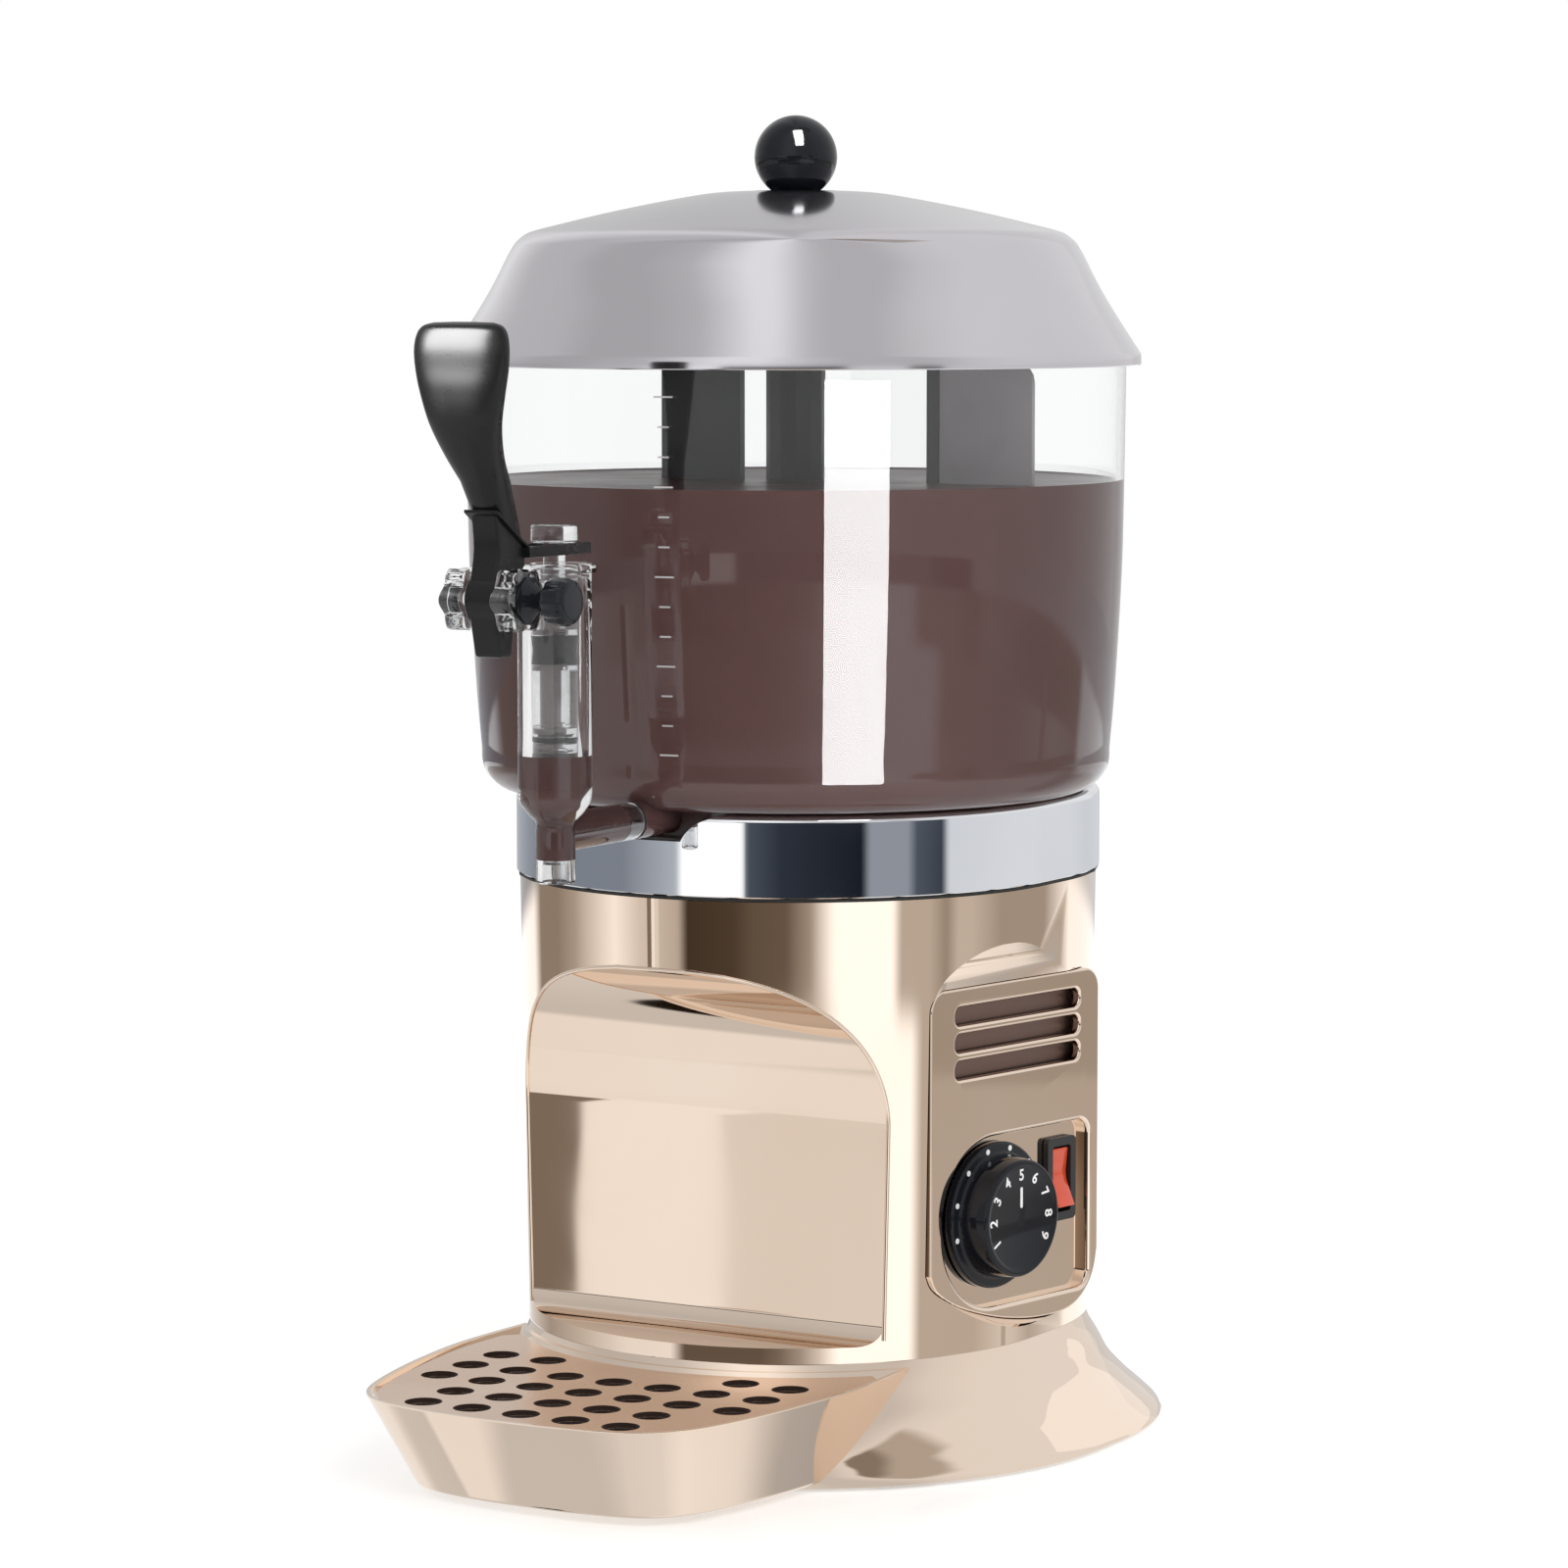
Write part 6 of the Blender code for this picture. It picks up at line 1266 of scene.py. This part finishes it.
def makeKnob():
    dishRadius, rim = lid["crown"][0]
    dishFloor, hole, thick, neck = lid["dishFloor"], lid["hole"], knob["rosetteThick"], knob["neck"]
    floor = rim - lid["dish"] + fit
    top = floor + thick
    rosette = [(hole, top), (dishFloor - thick, top), (dishRadius - thick, rim + fit),
               (dishRadius - fit, rim + fit), (dishFloor - fit, floor), (hole, floor)]
    dress(lathe("rosette", rosette, 96), glossBlack, "lid", ["knob_rosette"])
    low = top + fit
    start = math.degrees(math.atan2(-math.sqrt(knob["radius"] ** 2 - neck ** 2), neck))
    ball = arc((0, knob["centre"]), knob["radius"], 90, start, knob["steps"])
    ball[0] = (0, knob["centre"] + knob["radius"])
    screw, end = knob["screwHole"], low + knob["screwDepth"]
    profile = ball + [(neck, low), (screw, low), (screw, end), (0, end)]
    dress(lathe("lidKnob", profile, 96), glossBlack, "lid", ["lid_knob"])


makeLid()
makeKnob()
print("lid and knob made")

# Drip tray and grille

tray = {
    "half": 0.0878, "rear": -0.058, "front": -0.2195,
    "rimShares": ((0.975, 0.0), (1.0, 0.28), (0.972, 0.47), (0.915, 0.65), (0.842, 0.80),
                  (0.768, 0.885), (0.66, 0.943), (0.50, 0.977), (0.27, 0.995), (0.0, 1.0)),
    "lowWidth": 0.85, "lowDepth": 0.87, "rim": 0.0395, "low": 0.003, "wall": 0.0022, "floor": 0.0025,
    "ledge": 0.002, "ledgeHeight": 0.0358, "gap": 0.0008, "lowRound": 0.0016, "near": 0.0004,
    "rimOutside": ((-0.0006, 0), (-0.0002, 0.0002), (0, 0.0006)),
    "rimInside": ((-0.0006, 0), (0.0001, -0.0006), (0.003, -0.0006)),
}
grille = {
    "thick": 0.0020, "hole": 0.0070, "pitch": 0.0212, "frontMargin": 0.0150, "edge": 0.0028,
    "rows": 8, "halfColumns": 4, "round": 0.0005, "rearSteps": 60,
}


def trayOutline(z, distance=0.0):
    drop = (tray["rim"] - z) / (tray["rim"] - tray["low"])
    half = tray["half"] * (1 - drop * (1 - tray["lowWidth"]))
    depth = (tray["front"] - tray["rear"]) * (1 - drop * (1 - tray["lowDepth"]))
    left = [(-half * across, tray["rear"] + depth * along) for across, along in tray["rimShares"]]
    return inset(flowing(left + mirrored(left[:-1]), 5), distance)


def trayLoft(name, levels):
    return loft(name, [[(x, y, z) for x, y in trayOutline(z, distance)] for z, distance in levels])


def footEnvelope(name, grow):
    outline = towerOutline(grow)
    bottom = [(outline[-1][0], -passThrough), (0, -passThrough)]
    return lathe(name, [(0, tower["top"])] + outline + bottom, tower["steps"])


def darkenInside(obj):
    # the tray's inside is dull and painted dark: painted shade under the grille
    obj.data.materials.append(paintedShadeMetal)
    wall, near = tray["wall"], tray["near"]
    for face in obj.data.polygons:
        x, y, z = face.center.x, face.center.y - axisY, face.center.z
        if tray["low"] + tray["floor"] - fit < z < tray["ledgeHeight"] - fit:
            if edgeDistance((x, y), trayOutline(z)) > wall - near:
                if math.hypot(x, y) > towerRadius(z) + tray["gap"] + wall - near:
                    face.material_index = 1


def makeTray():
    low, rim, wall, rounded = tray["low"], tray["rim"], tray["wall"], tray["lowRound"]
    turns = [math.pi / 2 * step / 5 for step in range(6)]
    levels = [(low + rounded * (1 - math.cos(turn)), rounded * (1 - math.sin(turn))) for turn in turns]
    body = trayLoft("dripTray", levels + [(rim + up, less) for up, less in tray["rimOutside"]])
    height, ledge = tray["ledgeHeight"], tray["ledge"]
    lower = trayLoft("lowerRoom", [
        (low + tray["floor"], wall), (height - ledge, wall + ledge), (height + fit, wall + ledge),
    ])
    levels = [(height, wall)] + [(rim + up, wall + less) for up, less in tray["rimInside"]]
    upper = trayLoft("upperRoom", levels)
    rear = tray["gap"] + wall
    carve(lower, footEnvelope("lowerRear", rear + ledge))
    carve(upper, footEnvelope("upperRear", rear))
    carve(body, footEnvelope("rear", tray["gap"]), upper, lower)
    dress(body, champagne, "tray", ["drip_tray"], 40, flat=True)
    darkenInside(body)
    body.visible_glossy = False  # the polished niche and foot mirror the plain studio alone


def grilleOutline():
    outline = trayOutline(tray["ledgeHeight"], tray["wall"] + fit)
    rear = towerRadius(tray["ledgeHeight"]) + tray["gap"] + tray["wall"] + 2 * fit
    kept = [point for point in outline if math.hypot(*point) > rear]
    meet = math.degrees(math.atan2(-kept[0][1], -kept[0][0]))
    return kept + arc((0, 0), rear, 360 - meet, 180 + meet, grille["rearSteps"])


def makeGrille():
    outline = grilleOutline()
    low = tray["ledgeHeight"] + fit
    clear = grille["hole"] + grille["edge"]
    start = min(y for _, y in outline) + grille["frontMargin"]
    columns = range(-grille["halfColumns"], grille["halfColumns"] + 1)
    centres = [(column * grille["pitch"], start + row * grille["pitch"])
               for row in range(grille["rows"]) for column in columns]
    centres = [place for place in centres if inside(place, outline) and edgeDistance(place, outline) > clear]
    holes = [circle(grille["hole"], 40, centre) for centre in centres]
    plate = prism("dripGrille", [outline] + holes, low, low + grille["thick"])
    softenEdges(plate, grille["round"], 2, 40)
    dress(plate, peach, "grille", ["drip_grille"], 40, flat=True)
    plate.data.materials.append(paintedShadeMetal)
    for face in plate.data.polygons:  # the holes' walls are dull and painted dark like the tray below them: painted shade
        deep = edgeDistance((face.center.x, face.center.y - axisY), outline) > clear / 2
        face.material_index = int(deep and abs(face.normal.z) < 0.3)
    plate.visible_glossy = False
    print("grille holes:", len(centres))


makeTray()
makeGrille()
print("tray and grille made")

# Finishes of the CAD pieces that stay as they are

keptFinishes = (
    (zincSheet, "base_plate motor_plate gearmotor"),
    (rubber, "foot_front_left foot_front_right foot_rear_left foot_rear_right collar_gasket bowl_gasket "
             "outlet_seal"),
    (stainless, "water_tank heating_element drive_shaft dial_shaft motor_screw_1 motor_screw_2 motor_screw_3 "
                "motor_screw_4 knob_screw"),
    (offWhite, "thermostat terminal_block"),
    (mouldedBlack, "cord_gland agitator"),
    (smokyBlade, "scraper_blade"),
)
for material, names in keptFinishes:
    for name in names.split():
        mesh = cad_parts[name].data
        mesh.materials.clear()
        mesh.materials.append(material)
    print(material.name, "on", names)

# Floor, studio and camera

camera = {
    "azimuth": 29.942, "distance": 2.0399, "height": 0.446, "aside": -0.004574, "pitch": 5.474,
    "lens": 120.36, "sensor": 36,
}
floorPaper = {
    "colour": (0.80, 0.795, 0.785), "gloss": 0.32, "grain": 220.0, "bump": (0.03, 0.0002), "half": 3.0,
    "thick": 0.02, "glow": 0.37,
}
studio = {
    "diffuse": 0.80,
    # soft lamps: azimuth, distance, height, side and power
    "lamps": {"key": (52, 1.5, 1.1, 0.9, 9.0), "fill": (-50, 1.8, 0.9, 1.4, 5.0),
              "side": (125, 1.8, 0.7, 1.0, 4.0)},
    "aimHeight": 0.25,
    # what polished metal mirrors: the azimuth and level of the cards and flags, zone by zone upwards
    "table": ((-170, 0.8), (-75, 0.65), (-45, 0.65), (-15, 0.8), (80, 0.85), (110, 1.0), (170, 0.9)),
    "counter": ((-170, 0.95), (20, 0.95), (115, 1.1), (140, 0.9), (147, 0.5), (155, 0.45), (170, 0.9)),
    "niche": ((-170, 1.2), (-102, 0.4), (-75, 0.6), (-48, 0.9), (-25, 0.95), (-19, 0.13), (15, 0.13),
              (23, 0.2), (32, 0.4), (40, 0.75), (48, 1.35), (79, 1.35), (84, 0.55), (112, 0.55), (130, 0.75),
              (138, 0.7), (151, 0.5), (160, 1.2)),
    "tower": ((-170, 1.2), (-112, 1.2), (-104, 0.3), (-88, 0.3), (-75, 0.45), (-51, 1.1), (-38, 0.75),
              (-20, 0.55), (-16, 0.06), (4, 0.08), (12, 0.13), (26, 0.15), (36, 0.4), (46, 1.35), (70, 1.35),
              (74, 0.55), (87, 0.55), (95, 0.35), (101, 0.6), (108, 0.6), (125, 0.4), (152, 0.4), (156, 1.2)),
    "band": ((-170, 0.7), (-100, 0.25), (-45, 0.25), (-20, 0.5), (-17, 1.25), (8, 1.25), (10, 0.09),
             (24, 0.035), (57, 0.012), (60, 0.33), (76, 0.33), (80, 0.1), (92, 0.055), (95, 0.75),
             (146, 0.8), (170, 0.7)),
    "middle": ((-170, 0.7), (-45, 0.5), (-30, 0.15), (38, 0.15), (62, 0.7), (150, 0.8)),
    "rim": ((-170, 0.7), (-60, 0.5), (-21, 0.8), (-19, 1.25), (4, 1.25), (7, 0.03), (45, 0.03), (47, 0.9),
            (66, 0.9), (68, 0.1), (78, 0.1), (80, 0.8)),
    "upper": ((-170, 0.8), (-156, 0.8), (-152, 0.65), (-146, 0.62), (-128, 0.95), (-104, 0.67), (-80, 0.67),
              (-66, 0.57), (-46, 0.57), (-22, 0.65), (6, 1.1), (18, 1.1), (35, 0.75), (47, 0.65), (74, 0.65),
              (92, 0.8), (112, 0.87)),
    # where each zone starts, in degrees above the horizon, and how softly
    "heights": {"counter": (-40, 4), "niche": (-16, 3), "tower": (-9.7, 0.3), "band": (-7.2, 0.25),
                "middle": (-5.4, 0.1), "rim": (-2.1, 0.2), "upper": (1.5, 0.5)},
    # the power of each level in red, green and blue
    "tones": {"niche": (1.0, 1.12, 1.25), "tower": (1.0, 1.12, 1.25), "band": (1.06, 1.0, 0.9)},
    # smaller cards and flags: left, right, low, high, level, softness in degrees
    "patches": ((-34.2, -32.2, -12.0, -7.85, 0.22, 0.05), (-32.2, -30.6, -12.8, -7.85, 1.0, 0.05),
                (-30.6, -28.7, -12.8, -7.85, 0.82, 0.1), (129, 132, -13.0, -8.65, 0.5, 0.08),
                (-80, -40, -54.2, -38, 0.93, 1), (-110, -72, -62, -58.75, 0.01, 0.1),
                (95, 132, 61, 76, 0.5, 3), (98, 128, 73, 84, 0.27, 2)),
    # cards that one piece alone mirrors: place, aim, size, power and the piece
    "cards": {
        "bowlCard": ((0.2306, -0.2198, 0.2985), (0.0796, -0.0944, 0.2985), (0.1007, 0.207), 1.3, "clearBowl"),
        "knobCard": ((0.0495, -0.0570, 0.587), (0, 0, 0.494), (0.046, 0.10), 0.9, "lidKnob"),
        "leverCard": ((-0.314, -0.689, 0.654), (0, -0.24, 0.41), (0.40, 0.45), 24.0, "leverPaddle"),
        "footCard": ((0.251, 0.927, 0.453), (0.125, 0.03, 0.03), (0.50, 0.56), 0.16, "towerShell"),
    },
}


def makeRamp(tree, factor, stops, tone=(1, 1, 1)):
    ramp = node(tree, "ShaderNodeValToRGB")
    elements = ramp.color_ramp.elements
    elements.remove(elements[-1])
    for index, (azimuth, level) in enumerate(stops):
        place = (azimuth + 180) / 360
        element = elements.new(place) if index else elements[0]
        element.position = place
        element.color = (*(level ** power for power in tone), 1)
    tree.links.new(factor, ramp.inputs["Fac"])
    return ramp.outputs["Color"]


def calculate(tree, operation, first, second=None, third=None):
    made = node(tree, "ShaderNodeMath", operation=operation)
    for socket, value in zip(made.inputs, (first, second, third)):
        feed(tree, value, socket)
    return made.outputs[0]


def above(tree, value, edge, soft):
    # from 0 to 1 across a soft edge
    return mapRange(tree, value, 0.0, 1.0, edge - soft, edge + soft, interpolation_type="SMOOTHSTEP")


def straight(tree, path):
    # rays that show the studio itself, also through clear pieces
    return calculate(tree, "MAXIMUM", path["Is Camera Ray"], path["Is Transmission Ray"])


def makeStudio():
    world = bpy.data.worlds.new("studio")
    bpy.context.scene.world = world
    world.use_nodes = True
    tree = world.node_tree
    place = node(tree, "ShaderNodeTexCoord")
    parts = node(tree, "ShaderNodeSeparateXYZ")
    tree.links.new(place.outputs["Generated"], parts.inputs[0])
    x, y, z = parts.outputs
    turn = calculate(tree, "ARCTAN2", x, calculate(tree, "MULTIPLY", y, -1.0))
    factor = calculate(tree, "MULTIPLY_ADD", turn, 1 / (2 * math.pi), 0.5)
    rise = calculate(tree, "MULTIPLY", calculate(tree, "ARCSINE", z), 180 / math.pi)
    mirror = makeRamp(tree, factor, studio["table"])
    for zone, (height, soft) in studio["heights"].items():
        light = makeRamp(tree, factor, studio[zone], studio["tones"].get(zone, (1, 1, 1)))
        mirror = mixColour(tree, above(tree, rise, height, soft), mirror, light)
    azimuth = calculate(tree, "MULTIPLY_ADD", factor, 360.0, -180.0)
    for left, right, low, high, level, soft in studio["patches"]:
        mask = 1.0
        sides = (azimuth, left, 1), (azimuth, right, -1), (rise, low, 1), (rise, high, -1)
        for value, edge, sense in sides:
            mask = calculate(tree, "MULTIPLY", mask, above(tree, value, edge, soft * sense))
        shade = (*(level ** power for power in studio["tones"]["tower"]), 1)
        mirror = mixColour(tree, mask, mirror, shade)
    path = node(tree, "ShaderNodeLightPath").outputs
    reflected = calculate(tree, "SUBTRACT", 1.0, path["Is Transmission Ray"])
    glossy = calculate(tree, "MULTIPLY", path["Is Glossy Ray"], reflected)
    diffuse = (studio["diffuse"],) * 3
    light = mixColour(tree, straight(tree, path), (*diffuse, 1), (1, 1, 1, 1))
    tree.links.new(mixColour(tree, glossy, light, mirror), tree.nodes["Background"].inputs["Color"])


def makeFloor():
    half = floorPaper["half"]
    floor = bar("floor", (-half, -half, -floorPaper["thick"]), (half, half, 0.0), 0)
    material, tree, shader = startMaterial("floorPaper", floorPaper["colour"], Roughness=floorPaper["gloss"])
    grain = node(tree, "ShaderNodeTexNoise", in_Scale=floorPaper["grain"])
    addBump(tree, shader, grain.outputs["Fac"], *floorPaper["bump"])
    path = node(tree, "ShaderNodeLightPath").outputs
    glow = calculate(tree, "MULTIPLY", straight(tree, path), floorPaper["glow"])
    shader.inputs["Emission Color"].default_value = (1, 1, 1, 1)
    tree.links.new(glow, shader.inputs["Emission Strength"])
    floor.data.materials.append(material)
    floor.visible_glossy = False


def makeLamp(name, place, aim, size, power, onlyMirrored=False):
    # a soft lamp lights the object; a card shows only in gloss
    lamp = bpy.data.lights.new(name, "AREA")
    lamp.shape = "RECTANGLE"
    lamp.size, lamp.size_y = size
    lamp.energy = power
    obj = addObject(name, lamp)
    obj.location = place
    obj.rotation_euler = (Vector(aim) - Vector(place)).to_track_quat("-Z", "Y").to_euler()
    obj.visible_glossy = onlyMirrored
    obj.visible_diffuse = not onlyMirrored
    obj.visible_camera = False
    obj.visible_transmission = False
    return obj


def roundAxis(azimuth, distance, height):
    turn = math.radians(azimuth)
    return (math.sin(turn) * distance, axisY - math.cos(turn) * distance, height)


def makeLamps():
    for name, (azimuth, distance, height, side, power) in studio["lamps"].items():
        aim = (0, axisY, studio["aimHeight"])
        makeLamp(name, roundAxis(azimuth, distance, height), aim, (side, side), power)
    for name, (place, aim, size, power, piece) in studio["cards"].items():
        card = makeLamp(name, toAxis @ Vector(place), toAxis @ Vector(aim), size, power, True)
        shown = bpy.data.collections.new(name + "Pieces")
        shown.objects.link(bpy.data.objects[piece])
        card.light_linking.receiver_collection = shown


def makeCamera():
    turn, pitch = math.radians(camera["azimuth"]), math.radians(camera["pitch"])
    right = Vector((math.cos(turn), math.sin(turn), 0))
    back = Vector((math.sin(turn) * math.cos(pitch), -math.cos(turn) * math.cos(pitch), math.sin(pitch)))
    data = bpy.data.cameras.new("camera")
    data.lens = camera["lens"]
    data.sensor_width = camera["sensor"]
    obj = addObject("camera", data)
    obj.location = Vector(roundAxis(camera["azimuth"], camera["distance"], camera["height"]))
    obj.location += right * camera["aside"]
    obj.rotation_euler = (-back).to_track_quat("-Z", "Y").to_euler()
    bpy.context.scene.camera = obj


makeStudio()
makeFloor()
makeLamps()
makeCamera()
bpy.context.scene.view_settings.view_transform = "Standard"
print("studio and camera made")
